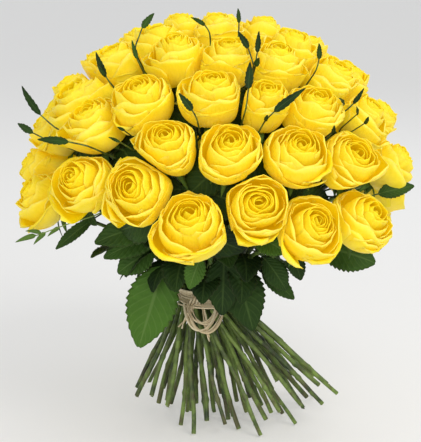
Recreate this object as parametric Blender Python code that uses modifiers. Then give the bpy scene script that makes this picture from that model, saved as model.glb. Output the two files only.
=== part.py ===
"""A hand-tied bouquet of yellow roses, standing on its spread, cut stems.

Lengths are in millimetres while the shapes are worked out, and MM turns them into metres.
Front is -Y, right is +X, up is +Z. The origin is the middle stem's cut end, on the floor.
"""
import math
import random

import bmesh
import bpy
from mathutils import Vector

MM = 0.001
UP = Vector((0.0, 0.0, 1.0))

# The dome of blooms: its centre, and how far the middles of the faces lie from it
DOME_CENTRE = Vector((-14.0, 0.0, 237.0))
DOME_WIDE = 193.0
DOME_FRONT = 195.0
DOME_BEHIND = 174.0
DOME_HIGH = 177.0
LOWEST_FACE = 0.07          # sine of the lowest elevation that a face may sink to

# A bloom: its height from the calyx to the face, and how deep its widest ring lies below the face
BLOOM_HEIGHT = 48.0
RIM_DEPTH = 12.0
BLOOM_BEHIND = 74.0         # width of the blooms on the far side
HEART_DIP = 0.90            # height of the heart's middle, in bloom heights
PETALS_IN_RING = 5
# From the heart outwards, in bloom radii and heights: reach, rise, and how much of the petals'
# swing the ring takes. Rim, groove, rim, groove, outer rim, belly.
BLOOM_RINGS = (
    (0.17, 0.99, 0.6), (0.30, 0.83, 0.3), (0.58, 0.95, 0.9), (0.70, 0.66, 0.4),
    (1.04, 0.81, 1.0), (0.84, 0.36, 0.5),
)
# Along one petal's rim: how far it is drawn in or out, how far it rises, how far it curls down
PETAL_SWING = ((-0.09, -1.0, 0.0), (0.05, 1.0, 1.0), (0.03, -0.2, 0.4))
PETAL_PLACES = (0.02, 0.50, 0.93)
CROWDING = 0.82             # how near two blooms may stand, as a share of their mean width
SPREAD_BEHIND = 1.04        # the same for two blooms of the far side, which share out the room
PRESSED_FROM = 0.84         # where a bloom starts to give way to its neighbour, as a share of the room
PETAL_GAP = 0.5             # how far a bloom keeps from the plane to its neighbour
FACING_PULL = 0.25          # how far a bloom that faces the front is turned to it
RAISED = 17.0               # how many degrees higher a bloom at the dome's edge looks than straight out
BODY_DEPTH = 22.0           # how deep the middle of a bloom's body lies below its face
NEIGHBOUR_GAP = 14.0        # two blooms further apart than this, rim to rim, don't touch
SPREAD_ROUNDS = 60
HOME_PULL = 0.04            # how strongly a bloom is drawn home in each round
HOME_PULL_BEHIND = 0.02

# The bundle: middle of the tie, stem width, and for each ring of stems how many there are, how far
# from the middle they pass the tie and reach the floor, their turn and the highest cut end at the sides
TIE_CENTRE = Vector((-24.0, 0.0, 132.0))
STEM_WIDTH = 4.6
STEM_SIDES = 4
HIP_SWELL = 1.9             # the stem's width under its bloom, in stem widths
HIP_GAP = 0.45
STEM_BEND = 0.27            # how far a stem bends below its bloom, as a share of its length above the tie
RINGS = (
    (1, 0.0, 0.0, 0.0, 0.0),
    (6, 5.3, 20.0, 10.0, 4.0),
    (12, 10.6, 50.0, 16.0, 12.0),
    (17, 15.9, 86.0, 24.0, 24.0),
    (22, 21.2, 123.0, 32.0, 38.0),
)
FLOOR_RIGHT = 0.098         # how far each ring of cut ends lies to the right, as a share of its radius
STANDING_EVERY = 2          # one stem in two reaches the floor, unless it spreads far to the side
STANDS_WITHIN = 80.0        # how far to the side a stem may stand
FLOOR_FRONT = 0.53          # spread to the front and back, as a share of that to the sides
PACKED_RADIUS = 22.0
PACKED_HEIGHT = 12.0
FLOOR_CUT = 12.0            # how far a standing stem is drawn below the floor before it is cut

# The raffia wound round the tie, and its bow of loops and tails
BAND_HEIGHT = 15.0
BAND_WAIST = 25.1
BAND_FLARE = 7.6
BAND_WALL = 2.2
STRAND_WIDTH = 2.2
BOW_STANDS_OFF = 0.72       # how far the bow stands off for each millimetre that it hangs
BOW_LOOPS = ((-9.0, 26.0, 24.0, 4.0), (-3.0, 26.0, 31.0, 6.0))      # start, width, drop, rise across
BOW_TAILS = ((-14.0, 24.0), (15.0, 31.0))                           # way across and drop

LEAF_THICKNESS = 0.8
WIDE_LEAF = 24.0            # a leaf at least this wide has four teeth a side, a narrower one two
STALK_WIDTH = 1.8
STALK_RISE = 24.0           # how far above the tie's middle the lowest stalk grows
SLENDER_ROOM = 3.5          # how far the blooms keep from the foot of a slender leaf
STEM_CLEARANCE = 4.2        # how far a leaf keeps from the middle of every stem

# The picture that the front is taken from: its middle in pixels, the camera's height angle,
# its distance in millimetres, and the point that it looks at. One pixel is 1 mm at that point.
PICTURE_MIDDLE = (210.5, 221.0)
CAMERA_TILT = math.radians(14.0)
CAMERA_DISTANCE = 1500.0
CAMERA_AIM = Vector((-19.5, 0.0, 205.0))

VIEW = Vector((0.0, math.cos(CAMERA_TILT), -math.sin(CAMERA_TILT)))
PICTURE_UP = Vector((0.0, math.sin(CAMERA_TILT), math.cos(CAMERA_TILT)))
PICTURE_RIGHT = Vector((1.0, 0.0, 0.0))
CAMERA = CAMERA_AIM - VIEW * CAMERA_DISTANCE

# Blooms that the front shows, row by row from the lowest: pixel across and pixel down of the body's
# middle, width in millimetres, whether it is turned to the front, and how many degrees it is raised
BLOOMS_SEEN = (
    (45, 181, 60, 0, 30), (86, 179, 60, 1, 16), (142, 183, 70, 1, 17), (191, 207, 70, 0, 42),
    (257, 201, 64, 1, 14), (308, 218, 60, 0, 32), (358, 212, 62, 0, 38), (389, 150, 62, 0, 26),
    (37, 150, 56, 0, 17), (52, 131, 58, 0, 17), (98, 116, 64, 0, 26), (169, 140, 64, 1, 31),
    (229, 143, 70, 1, 35), (292, 146, 70, 1, 33), (346, 154, 62, 1, 28),
    (80, 84, 60, 0, 17), (144, 96, 68, 0, 22), (211, 90, 72, 0, 24), (263, 98, 54, 0, 24),
    (308, 105, 62, 0, 24), (358, 113, 58, 0, 17), (380, 116, 58, 0, 17),
    (127, 60, 60, 0, 17), (176, 51, 62, 0, 17), (226, 59, 60, 0, 17), (274, 61, 62, 0, 17),
    (326, 74, 62, 0, 17), (101, 50, 60, 0, 17),
    (141, 35, 60, 0, 17), (183, 22, 60, 0, 17), (215, 35, 60, 0, 17), (256, 25, 60, 0, 17),
    (222, 14, 60, 0, 17), (296, 43, 60, 0, 17),
)

# Rows on the far side: elevation, first and last azimuth in degrees, and how many
ROWS_BEHIND = ((9, 114, 250, 8), (27, 98, 266, 7), (46, 92, 268, 5), (65, 105, 255, 4))

# Large leaves that the front shows: base and tip (pixel across, pixel down, depth), width,
# and how far the tip hangs
LEAVES_SEEN = (
    ((164, 266, -36), (139, 347, -50), 50, 3),
    ((236, 262, -36), (253, 330, -48), 40, 3),
    ((220, 256, -42), (216, 312, -50), 34, 3),
    ((156, 224, -74), (95, 243, -84), 34, 8),
    ((158, 236, -62), (104, 258, -66), 28, 8),
    ((324, 243, -62), (374, 257, -66), 38, 6),
    ((92, 220, -66), (56, 249, -70), 14, 3),
    ((262, 272, -34), (294, 299, -28), 20, 3),
    ((291, 252, -56), (301, 280, -58), 20, 2),
    ((201, 256, -46), (190, 286, -50), 22, 3),
    ((154, 250, -48), (118, 273, -50), 32, 5),
    ((378, 194, -40), (414, 186, -38), 18, 2),
    ((254, 236, -78), (284, 252, -84), 28, 4),
    ((264, 258, -52), (286, 290, -50), 26, 4),
)

# Leaves of the collar that the front doesn't show: first and last azimuth, how many,
# height of the base, height of the tip, reach of the base and of the tip, width
COLLARS = (
    (66, 294, 7, 196, 206, 62, 128, 40),
    (90, 270, 5, 168, 150, 40, 88, 36),
)

# Slender leaves that stand out between the blooms: foot and tip in pixels, width, rise of the tip
SLENDER_LEAVES = (
    (60, 113, 22, 86, 8, 6), (44, 139, 18, 123, 8, 6), (68, 158, 38, 139, 9, 8),
    (104, 82, 96, 52, 7, 13), (148, 58, 132, 40, 5, 7), (160, 32, 154, 13, 8, 8),
    (190, 34, 191, 17, 5, 10), (238, 26, 238, 8, 5, 8), (239, 50, 238, 31, 7, 10),
    (244, 48, 259, 31, 6, 10), (318, 60, 319, 43, 6, 8), (282, 118, 305, 88, 9, 11),
    (244, 86, 250, 62, 9, 8), (178, 114, 179, 93, 8, 12), (346, 100, 364, 88, 5, 8),
)


def lerp(a, b, t):
    """Blend from a to b."""
    return a + (b - a) * t


def turned(radius, angle, height):
    """A point at a radius, an angle from the front towards the right, and a height."""
    return Vector((radius * math.sin(angle), -radius * math.cos(angle), height))


def lean(height):
    """How far the bundle's middle lies to the side at a height."""
    if height < TIE_CENTRE.z:
        return lerp(0.0, TIE_CENTRE.x, height / TIE_CENTRE.z)
    share = min(1.0, (height - TIE_CENTRE.z) / (DOME_CENTRE.z - TIE_CENTRE.z))
    return lerp(TIE_CENTRE.x, DOME_CENTRE.x, share)


def leaned(point):
    """A point of the upright bundle, moved over with the bundle's middle."""
    return point + Vector((lean(point.z), 0.0, 0.0))


# Places on the picture and on the dome

def sight(across, down):
    """The direction from the camera through a pixel."""
    x = across - PICTURE_MIDDLE[0]
    y = PICTURE_MIDDLE[1] - down
    return (VIEW * CAMERA_DISTANCE + PICTURE_RIGHT * x + PICTURE_UP * y).normalized()


def at_depth(across, down, depth):
    """The point seen at a pixel, at a distance behind the bouquet's middle."""
    way = sight(across, down)
    return CAMERA + way * ((depth - CAMERA.y) / way.y)


def dome_axes(y, rise=0.0):
    """The dome's half widths on the side where y lies."""
    depth = DOME_BEHIND if y > 0 else DOME_FRONT
    return Vector((DOME_WIDE + rise, depth + rise, DOME_HIGH + rise))


def on_dome(point):
    """The point of the dome in the direction of a point."""
    axes = dome_axes(point.y)
    way = point - DOME_CENTRE
    way = Vector((way.x / axes.x, way.y / axes.y, way.z / axes.z)).normalized()
    way.z = max(way.z, LOWEST_FACE)
    way.normalize()
    return DOME_CENTRE + Vector((way.x * axes.x, way.y * axes.y, way.z * axes.z))


def seen_on_dome(across, down, rise=0.0):
    """The point where the sight line of a pixel meets the dome, or passes nearest to it."""
    axes = dome_axes(-1.0, rise)
    way = sight(across, down)
    start = CAMERA - DOME_CENTRE
    start = Vector((start.x / axes.x, start.y / axes.y, start.z / axes.z))
    step = Vector((way.x / axes.x, way.y / axes.y, way.z / axes.z))
    a = step.dot(step)
    b = start.dot(step)
    c = start.dot(start) - 1.0
    room = b * b - a * c
    distance = (-b - math.sqrt(room)) / a if room > 0 else -b / a
    return CAMERA + way * distance


def outward(point):
    """The direction straight out of the dome at a point."""
    axes = dome_axes(point.y)
    way = point - DOME_CENTRE
    return Vector((way.x / axes.x ** 2, way.y / axes.y ** 2, way.z / axes.z ** 2)).normalized()


# The blooms' places

def spread_heads():
    """The middle of each bloom's face, spread so that no two stand too close."""
    heads = []
    for across, down, width, facing, raised in BLOOMS_SEEN:
        place = on_dome(seen_on_dome(across, down, -BODY_DEPTH))
        heads.append({"face": place, "home": place.copy(), "width": width, "facing": facing,
                      "raised": raised, "seen": True})
    for elevation, first, last, count in ROWS_BEHIND:
        for k in range(count):
            azimuth = math.radians(lerp(first, last, k / (count - 1)))
            height = math.radians(elevation)
            place = on_dome(DOME_CENTRE + turned(math.cos(height), azimuth, math.sin(height)) * DOME_WIDE)
            heads.append({"face": place, "home": place.copy(), "width": BLOOM_BEHIND, "facing": 0,
                          "raised": RAISED, "seen": False})
    for _ in range(SPREAD_ROUNDS):
        for i, one in enumerate(heads):
            for other in heads[:i]:
                part_two(one, other)
        for head in heads:
            pull = HOME_PULL if head["seen"] else HOME_PULL_BEHIND
            head["face"] = on_dome(lerp(head["face"], head["home"], pull))
    return heads


def part_two(one, other):
    """Move two blooms apart along the dome where they crowd each other."""
    apart = one["face"] - other["face"]
    distance = apart.length
    wanted = (one["width"] + other["width"]) / 2
    wanted *= CROWDING if one["seen"] or other["seen"] else SPREAD_BEHIND
    if distance >= wanted:
        return
    step = apart * ((wanted - distance) / 2 / distance)
    share = 0.5 if one["seen"] == other["seen"] else 0.2 if one["seen"] else 0.8
    one["face"] = on_dome(one["face"] + step * share)
    other["face"] = on_dome(other["face"] - step * (1 - share))


def aim_head(head):
    """Give a bloom its axis, its rim's middle and its foot."""
    way = head["face"] - DOME_CENTRE
    azimuth = math.atan2(way.x, -way.y)
    elevation = math.asin(min(1.0, way.z / DOME_HIGH))
    raised = elevation + math.radians(head["raised"]) * math.sqrt(max(0.0, math.cos(elevation)))
    axis = turned(math.cos(raised), azimuth, math.sin(raised))
    if head["facing"]:
        axis = (axis - VIEW * FACING_PULL).normalized()
    head["axis"] = axis
    head["rim"] = head["face"] - axis * RIM_DEPTH
    head["foot"] = head["face"] - axis * BLOOM_HEIGHT
    side = axis.cross(UP if abs(axis.z) < 0.95 else VIEW).normalized()
    head["side"] = side
    head["over"] = axis.cross(side)


def find_neighbours(heads):
    """The planes between a bloom and those around it, as a direction and a distance."""
    for head in heads:
        head["walls"] = []
        for other in heads:
            way = other["rim"] - head["rim"]
            if other is head or way.length > (head["width"] + other["width"]) / 2 + NEIGHBOUR_GAP:
                continue
            share = head["width"] / (head["width"] + other["width"])
            head["walls"].append((way.normalized(), way.length * share))


def find_slender_places(heads):
    """The feet of the slender leaves, between the blooms, which leave each of them a little room."""
    places = []
    for leaf in SLENDER_LEAVES:
        foot = seen_on_dome(leaf[0], leaf[1])
        foot = free_place(heads, foot - outward(foot) * RIM_DEPTH)
        places.append(foot)
        for head in heads:
            way = foot - head["rim"]
            if way.length < head["width"] / 2 + NEIGHBOUR_GAP:
                head["walls"].append((way.normalized(), way.length - SLENDER_ROOM))
    return places


def free_place(heads, place):
    """Slide a place along the dome to where the blooms round it leave the most room."""
    for _ in range(30):
        push = Vector()
        for head in heads:
            way = place - head["rim"]
            short = head["width"] / 2 + NEIGHBOUR_GAP / 2 - way.length
            if short > 0:
                push += way.normalized() * short
        push -= outward(place) * push.dot(outward(place))
        if push.length < 0.2:
            break
        place = place + push * 0.3
    return place


def hold_back(head, point, clearance):
    """Press a point of a bloom softly back from the planes to its neighbours."""
    for _ in range(2):
        for way, distance in head["walls"]:
            reach = (point - head["rim"]).dot(way)
            limit = distance - clearance
            start = limit * PRESSED_FROM
            if reach > start:
                room = limit - start
                pressed = start + room * (1.0 - math.exp(-(reach - start) / room))
                point = point + way * (pressed - reach)
    return point


# Blooms

def bloom_ring(ring, petal, part, draws):
    """Reach and height of a bloom's skin, in shares of its radius and height.

    Rims and grooves take turns from the middle outwards. Along a rim each petal starts tucked in
    beside the one before it, rises to its tip and ends lying over the next.
    """
    out, rise, lobed = BLOOM_RINGS[ring]
    tuck, tip, turn_down = PETAL_SWING[part]
    own = draws[(petal + ring) % len(draws)]
    out *= 1.0 + lobed * (tuck + 0.05 * own * tip)
    rise += lobed * (tip * 0.05 - turn_down * out ** 2 * 0.05 + 0.02 * own)
    return out, rise


def make_bloom(number, head, collection):
    """One bloom: a sphere drawn out into rings of petals, each ring a third of a petal round."""
    draw = random.Random(number)
    start = draw.uniform(0.0, 2.0 * math.pi)
    draws = [draw.uniform(-1.0, 1.0) for _ in range(7)]
    radius = head["width"] / 2
    rings = len(BLOOM_RINGS)
    around = PETALS_IN_RING * len(PETAL_SWING)
    cage = bmesh.new()
    bmesh.ops.create_uvsphere(cage, u_segments=around, v_segments=rings + 1, radius=1.0)
    for vert in cage.verts:
        level = round(math.acos(max(-1.0, min(1.0, vert.co.z))) / math.pi * (rings + 1))
        if level == 0:
            local = Vector((0.0, 0.0, HEART_DIP * BLOOM_HEIGHT))
        elif level == rings + 1:
            local = Vector((0.0, 0.0, HIP_GAP))
        else:
            place = round(math.atan2(vert.co.y, vert.co.x) / (2.0 * math.pi) * around) % around
            petal, part = divmod(place + level, len(PETAL_SWING))
            out, rise = bloom_ring(level - 1, petal, part, draws)
            turns = (petal + PETAL_PLACES[part]) / PETALS_IN_RING - level / around
            angle = start + turns * 2.0 * math.pi
            local = Vector((math.cos(angle) * out * radius, math.sin(angle) * out * radius,
                            rise * BLOOM_HEIGHT))
        vert.co = (placed(head, local, PETAL_GAP) - head["foot"]) * MM
    bmesh.ops.triangulate(cage, faces=cage.faces)
    bloom = link_mesh("bloom_%02d" % number, cage)
    bloom.location = head["foot"] * MM
    move_to(bloom, collection)
    return bloom


def placed(head, point, clearance):
    """A point of a bloom's own axes, put on its head and held back from the neighbours."""
    world = head["foot"] + head["side"] * point.x + head["over"] * point.y + head["axis"] * point.z
    return hold_back(head, world, clearance)


# Stems

def stem_routes(heads):
    """A route from floor to calyx for each bloom: the most upright blooms have the inmost stems."""
    waiting = sorted(heads, key=lambda head: -head["axis"].z)
    draw = random.Random(7)
    routes = []
    for count, at_tie, at_floor, twist, highest_end in RINGS:
        members = sorted(waiting[:count], key=azimuth_of)
        waiting = waiting[count:]
        start = mean_offset(members)
        for k, head in enumerate(members):
            slot = start + 2.0 * math.pi * k / count
            end_slot = slot + math.radians(twist)
            sideways = abs(math.sin(end_slot))
            stands = k % STANDING_EVERY == 0 and at_floor * sideways < STANDS_WITHIN
            hover = 1.0 + highest_end * lerp(0.3, 1.0, sideways) * draw.uniform(0.5, 1.0)
            routes.append(route_of(head, at_tie, at_floor, slot, end_slot, 0.0 if stands else hover))
    return routes


def azimuth_of(head):
    """The azimuth of a bloom's foot round the bundle's middle."""
    return math.atan2(head["foot"].x - DOME_CENTRE.x, -head["foot"].y)


def mean_offset(members):
    """The azimuth of the first slot that brings a ring's stems nearest to their blooms."""
    across = 0.0
    along = 0.0
    for k, head in enumerate(members):
        gap = azimuth_of(head) - 2.0 * math.pi * k / len(members)
        across += math.sin(gap)
        along += math.cos(gap)
    return math.atan2(across, along)


def route_of(head, at_tie, at_floor, slot, end_slot, hover):
    """The points of one stem: cut end, tie, bend and the bloom's foot."""
    floor_point = turned(at_floor, end_slot, 0.0)
    floor_point.y *= FLOOR_FRONT
    floor_point.x += FLOOR_RIGHT * at_floor
    tie_point = turned(at_tie, slot, TIE_CENTRE.z)
    share = hover / TIE_CENTRE.z if hover > 0 else -FLOOR_CUT / TIE_CENTRE.z
    end = lerp(leaned(floor_point), leaned(tie_point), share)
    foot = head["foot"]
    bend = lerp(leaned(tie_point), foot, 0.55)
    bend += (UP - head["axis"]) * (0.5 * STEM_BEND * (foot - leaned(tie_point)).length)
    return {"end": end, "tie": leaned(tie_point), "bend": bend, "foot": foot, "head": head}


def make_stem(name, route, profile):
    """A stem as a tube of few sides, which swells to the hip under its bloom."""
    curve = bpy.data.curves.new(name, "CURVE")
    curve.dimensions = "3D"
    curve.bevel_mode = "OBJECT"
    curve.bevel_object = profile
    curve.use_fill_caps = True
    spline = curve.splines.new("POLY")
    stops = ((route["end"], 1.0), (route["tie"], 1.0), (route["bend"], 1.0), (route["foot"], HIP_SWELL))
    spline.points.add(len(stops) - 1)
    for point, (place, swell) in zip(spline.points, stops):
        point.co = (*(place * MM), 1.0)
        point.radius = swell
    stem = bpy.data.objects.new(name, curve)
    bpy.context.scene.collection.objects.link(stem)
    return curve_to_mesh(stem)


def make_profile():
    """The cross section of a stem."""
    curve = bpy.data.curves.new("stem_profile", "CURVE")
    spline = curve.splines.new("POLY")
    spline.points.add(STEM_SIDES - 1)
    for k, point in enumerate(spline.points):
        angle = 2.0 * math.pi * k / STEM_SIDES
        radius = STEM_WIDTH / 2 * MM
        point.co = (radius * math.cos(angle), radius * math.sin(angle), 0.0, 1.0)
    spline.use_cyclic_u = True
    profile = bpy.data.objects.new("stem_profile", curve)
    bpy.context.scene.collection.objects.link(profile)
    return profile


def make_packed_core():
    """The mass of stems pressed together inside the tie."""
    core = bmesh.new()
    bmesh.ops.create_cone(core, cap_ends=True, segments=12, radius1=PACKED_RADIUS * MM,
                          radius2=PACKED_RADIUS * MM, depth=PACKED_HEIGHT * MM)
    for vert in core.verts:
        vert.co = leaned(vert.co / MM + Vector((0.0, 0.0, TIE_CENTRE.z))) * MM
    return link_mesh("stems_and_leaves", core)


# Leaves

def make_leaf(name, stalk, base, crest, tip, width, facing, teeth):
    """A leaf with its stalk: a toothed blade that arches from its base over the crest to its tip."""
    across = (tip - base).cross(facing).normalized()
    face = across.cross(tip - base).normalized()
    cage = bmesh.new()

    def corner(place, reach=0.0, lift=0.0):
        return cage.verts.new((place + across * reach + face * lift) * MM)

    def along(t):
        return lerp(lerp(base, crest, t), lerp(crest, tip, t), t)

    spine = [corner(along(i / teeth)) for i in range(teeth + 1)]
    half_stalk = STALK_WIDTH / 2
    edges = []
    for side in (-1.0, 1.0):
        edge = [corner(base, side * half_stalk)]
        for i in range(2 * teeth - 1):
            t = (i + 0.9 + 0.25 * (i % 2 == 0)) / (2 * teeth)
            reach = width / 2 * math.sin(math.pi * t ** 0.8) ** 0.8 * (1.0 if i % 2 == 0 else 0.82)
            edge.append(corner(along(t), side * reach, 0.16 * reach + 0.6 * math.sin(5.0 * t + side)))
        for i in range(teeth):
            cage.faces.new((spine[i], edge[2 * i], edge[2 * i + 1]))
            cage.faces.new((spine[i], edge[2 * i + 1], spine[i + 1]))
            if i < teeth - 1:
                cage.faces.new((spine[i + 1], edge[2 * i + 1], edge[2 * i + 2]))
        edges.append(edge)
    pairs = [(corner(place, -half_stalk), corner(place, half_stalk)) for place in stalk]
    for (a, b), (c, d) in zip(pairs, pairs[1:]):
        cage.faces.new((a, b, d))
        cage.faces.new((a, d, c))
    left, right = pairs[-1]
    cage.faces.new((left, right, spine[0]))
    cage.faces.new((left, spine[0], edges[0][0]))
    cage.faces.new((right, edges[1][0], spine[0]))
    bmesh.ops.recalc_face_normals(cage, faces=cage.faces)
    leaf = link_mesh(name, cage)
    thicken(leaf, LEAF_THICKNESS)
    return leaf


def nearest_on_stems(routes, point, lowest=0.0):
    """The point of the stems' middles that lies nearest to a point, no lower than a height."""
    best = None
    for route in routes:
        for a, b in ((route["tie"], route["bend"]), (route["bend"], route["foot"])):
            way = b - a
            share = min(0.96, max(0.0, (point - a).dot(way) / way.length_squared))
            place = a + way * share
            if place.z < lowest:
                continue
            if best is None or (place - point).length < (best - point).length:
                best = place
    return best


def distance_to_stems(routes, point):
    """How far a point lies from the middle of the nearest stem."""
    nearest = STEM_CLEARANCE * 10.0
    for route in routes:
        stops = (route["end"], route["tie"], route["bend"], route["foot"])
        for a, b in zip(stops, stops[1:]):
            way = b - a
            share = min(1.0, max(0.0, (point - a).dot(way) / way.length_squared))
            nearest = min(nearest, (a + way * share - point).length)
    return nearest


def clear_leaf(routes, base, tip, width, sag, facing, way):
    """Move a leaf along a way until it lies clear of all stems."""
    across = (tip - base).cross(facing).normalized()
    face = across.cross(tip - base).normalized()
    for _ in range(40):
        near = STEM_CLEARANCE * 10.0
        for t in (0.0, 0.25, 0.5, 0.75, 1.0):
            middle = lerp(base, tip, t) + face * (4.0 * sag * t * (1.0 - t))
            reach = width / 2 * math.sin(math.pi * min(0.97, t + 0.03))
            for side in (-1.0, -0.5, 0.0, 0.5, 1.0):
                near = min(near, distance_to_stems(routes, middle + across * (reach * side)))
        if near > STEM_CLEARANCE:
            break
        base = base + way * 2.0
        tip = tip + way * 2.0
    return base, tip


def add_leaf(pieces, routes, base, tip, width, sag, facing, way, teeth):
    """A large leaf, clear of the stems, with a stalk that grows from the nearest one."""
    base, tip = clear_leaf(routes, base, tip, width, sag, facing, way)
    anchor = nearest_on_stems(routes, base - (tip - base) * 0.25, TIE_CENTRE.z + STALK_RISE)
    across = (tip - base).cross(facing).normalized()
    crest = lerp(base, tip, 0.5) + across.cross(tip - base).normalized() * (2.0 * sag)
    pieces.append(make_leaf("leaf", (anchor,), base, crest, tip, width, facing, teeth))


def add_slender_leaf(pieces, routes, foot, leaf):
    """A slender leaf that stands out between the blooms, on a stalk from the stems inside."""
    tip_across, tip_down, width, rise = leaf[2:]
    tip = lerp(seen_on_dome(tip_across, tip_down, rise), at_depth(tip_across, tip_down, foot.y), 0.5)
    deep = foot - outward(foot) * (BLOOM_HEIGHT - RIM_DEPTH + 14.0)
    anchor = nearest_on_stems(routes, deep - outward(foot) * 12.0)
    crest = foot + outward(foot) * (tip - foot).length * 0.4
    pieces.append(make_leaf("slender_leaf", (anchor, deep), foot, crest, tip, width, -VIEW, 2))


def make_greenery(heads, slender_places, collection):
    """All stems with their leaves, joined in one body and cut level where they stand."""
    routes = stem_routes(heads)
    profile = make_profile()
    pieces = [make_stem("stem", route, profile) for route in routes]
    bpy.data.objects.remove(profile)
    for base, tip, width, sag in LEAVES_SEEN:
        teeth = 4 if width >= WIDE_LEAF else 2
        facing = UP * 0.3 - VIEW
        add_leaf(pieces, routes, at_depth(*base), at_depth(*tip), width, sag, facing, -VIEW, teeth)
    for first, last, count, base_z, tip_z, base_reach, tip_reach, width in COLLARS:
        for k in range(count):
            azimuth = math.radians(lerp(first, last, k / (count - 1)))
            swing = math.radians(9.0) * math.sin(k * 2.4)
            base = leaned(turned(base_reach, azimuth, base_z + 6.0 * math.sin(k * 1.7)))
            tip = leaned(turned(tip_reach, azimuth + swing, tip_z + 8.0 * math.sin(k * 2.9)))
            way = turned(0.6, azimuth, -0.8)
            add_leaf(pieces, routes, base, tip, width, 8.0, UP + turned(0.7, azimuth, 0.0), way, 3)
    for foot, leaf in zip(slender_places, SLENDER_LEAVES):
        add_slender_leaf(pieces, routes, foot, leaf)
    greenery = make_packed_core()
    join_all(greenery, pieces)
    cut_at_floor(greenery)
    move_to(greenery, collection)
    return greenery


def cut_at_floor(thing):
    """Cut a body level at the floor with a large block below it."""
    block = bmesh.new()
    bmesh.ops.create_cube(block, size=1.0)
    for vert in block.verts:
        vert.co = Vector((vert.co.x * 0.6, vert.co.y * 0.6, (vert.co.z - 0.5) * 0.06))
    cutter = link_mesh("floor_cutter", block)
    boolean = thing.modifiers.new("cut ends", "BOOLEAN")
    boolean.operation = "DIFFERENCE"
    boolean.object = cutter
    apply_modifiers(thing)
    bpy.data.objects.remove(cutter)
    keep_outer_skin(thing)


# Raffia

def make_band():
    """The raffia wound round the stems: a turned ring, narrow in the middle and ridged outside."""
    half = BAND_HEIGHT / 2
    outer = []
    for k in range(5):
        height = lerp(half, -half, k / 4)
        flare = BAND_FLARE * (height / half) ** 2
        ridge = 0.8 if k % 2 else 0.0
        outer.append((BAND_WAIST + flare + BAND_WALL + ridge, height))
    inner = [(BAND_WAIST + BAND_FLARE, -half), (BAND_WAIST, 0.0), (BAND_WAIST + BAND_FLARE, half)]
    ring = bmesh.new()
    verts = [ring.verts.new((out * MM, 0.0, height * MM)) for out, height in outer + inner]
    for a, b in zip(verts, verts[1:] + verts[:1]):
        ring.edges.new((a, b))
    band = link_mesh("raffia_tie", ring)
    screw = band.modifiers.new("turned", "SCREW")
    screw.steps = 14
    screw.render_steps = 14
    screw.use_merge_vertices = True
    screw.merge_threshold = 0.00005
    apply_modifiers(band)
    for vert in band.data.vertices:
        place = leaned(vert.co / MM + Vector((0.0, 0.0, TIE_CENTRE.z)))
        vert.co = place * MM
    return band


def make_strand(name, points, width):
    """A strand of four sides along a few points."""
    curve = bpy.data.curves.new(name, "CURVE")
    curve.dimensions = "3D"
    curve.bevel_depth = width / 2 * MM
    curve.bevel_resolution = 0
    curve.use_fill_caps = True
    spline = curve.splines.new("POLY")
    spline.points.add(len(points) - 1)
    for point, place in zip(spline.points, points):
        point.co = (*(place * MM), 1.0)
    strand = bpy.data.objects.new(name, curve)
    bpy.context.scene.collection.objects.link(strand)
    return curve_to_mesh(strand)


def make_bow():
    """The loops and tails of raffia that hang in front of the tie, as strands of four sides."""
    front = leaned(turned(BAND_WAIST + BAND_WALL + 1.5, math.radians(-20.0), TIE_CENTRE.z - 4.0))
    hang = Vector((0.0, -BOW_STANDS_OFF, -1.0))
    strands = []
    for start, width, drop, tilt in BOW_LOOPS:
        points = []
        for k in range(5):
            angle = math.pi * k / 4
            across = start + width * 0.5 * (1.0 - math.cos(angle))
            points.append(front + Vector((across, -1.0, tilt * k / 4)) + hang * (drop * math.sin(angle)))
        strands.append(make_strand("loop", points, STRAND_WIDTH))
    for across, drop in BOW_TAILS:
        start = front + Vector((across * 0.2, 0.5, 0.0))
        end = front + hang * drop + Vector((across, 0.0, 0.0))
        strands.append(make_strand("tail", (start, end), STRAND_WIDTH))
    return strands


def make_tie(collection):
    """The band and the bow in one body."""
    band = make_band()
    join_all(band, make_bow())
    move_to(band, collection)
    return band


# Mesh helpers

def link_mesh(name, cage):
    """Turn a bmesh into an object of the scene."""
    mesh = bpy.data.meshes.new(name)
    cage.to_mesh(mesh)
    cage.free()
    thing = bpy.data.objects.new(name, mesh)
    bpy.context.scene.collection.objects.link(thing)
    return thing


def thicken(thing, thickness):
    """Give an open blade its thickness, half on each side."""
    solid = thing.modifiers.new("thickness", "SOLIDIFY")
    solid.thickness = thickness * MM
    solid.offset = 0.0
    apply_modifiers(thing)


def apply_modifiers(thing):
    """Replace an object's mesh by what its modifiers make of it."""
    graph = bpy.context.evaluated_depsgraph_get()
    mesh = bpy.data.meshes.new_from_object(thing.evaluated_get(graph))
    old = thing.data
    thing.modifiers.clear()
    thing.data = mesh
    bpy.data.meshes.remove(old)


def curve_to_mesh(tube):
    """Turn a curve object into a mesh object with its caps welded on."""
    graph = bpy.context.evaluated_depsgraph_get()
    mesh = bpy.data.meshes.new_from_object(tube.evaluated_get(graph))
    cage = bmesh.new()
    cage.from_mesh(mesh)
    bmesh.ops.remove_doubles(cage, verts=cage.verts, dist=0.00001)
    bmesh.ops.recalc_face_normals(cage, faces=cage.faces)
    bmesh.ops.triangulate(cage, faces=cage.faces)
    name = tube.name
    bpy.data.objects.remove(tube)
    bpy.data.meshes.remove(mesh)
    return link_mesh(name, cage)


def join_all(base, pieces):
    """Join pieces to a base in one body with one Boolean union, and leave only its outer skin."""
    group = bpy.data.collections.new("pieces of " + base.name)
    bpy.context.scene.collection.children.link(group)
    for piece in pieces:
        move_to(piece, group)
    boolean = base.modifiers.new("joined", "BOOLEAN")
    boolean.operation = "UNION"
    boolean.operand_type = "COLLECTION"
    boolean.collection = group
    apply_modifiers(base)
    for piece in pieces:
        bpy.data.objects.remove(piece)
    bpy.data.collections.remove(group)
    keep_outer_skin(base)


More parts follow.
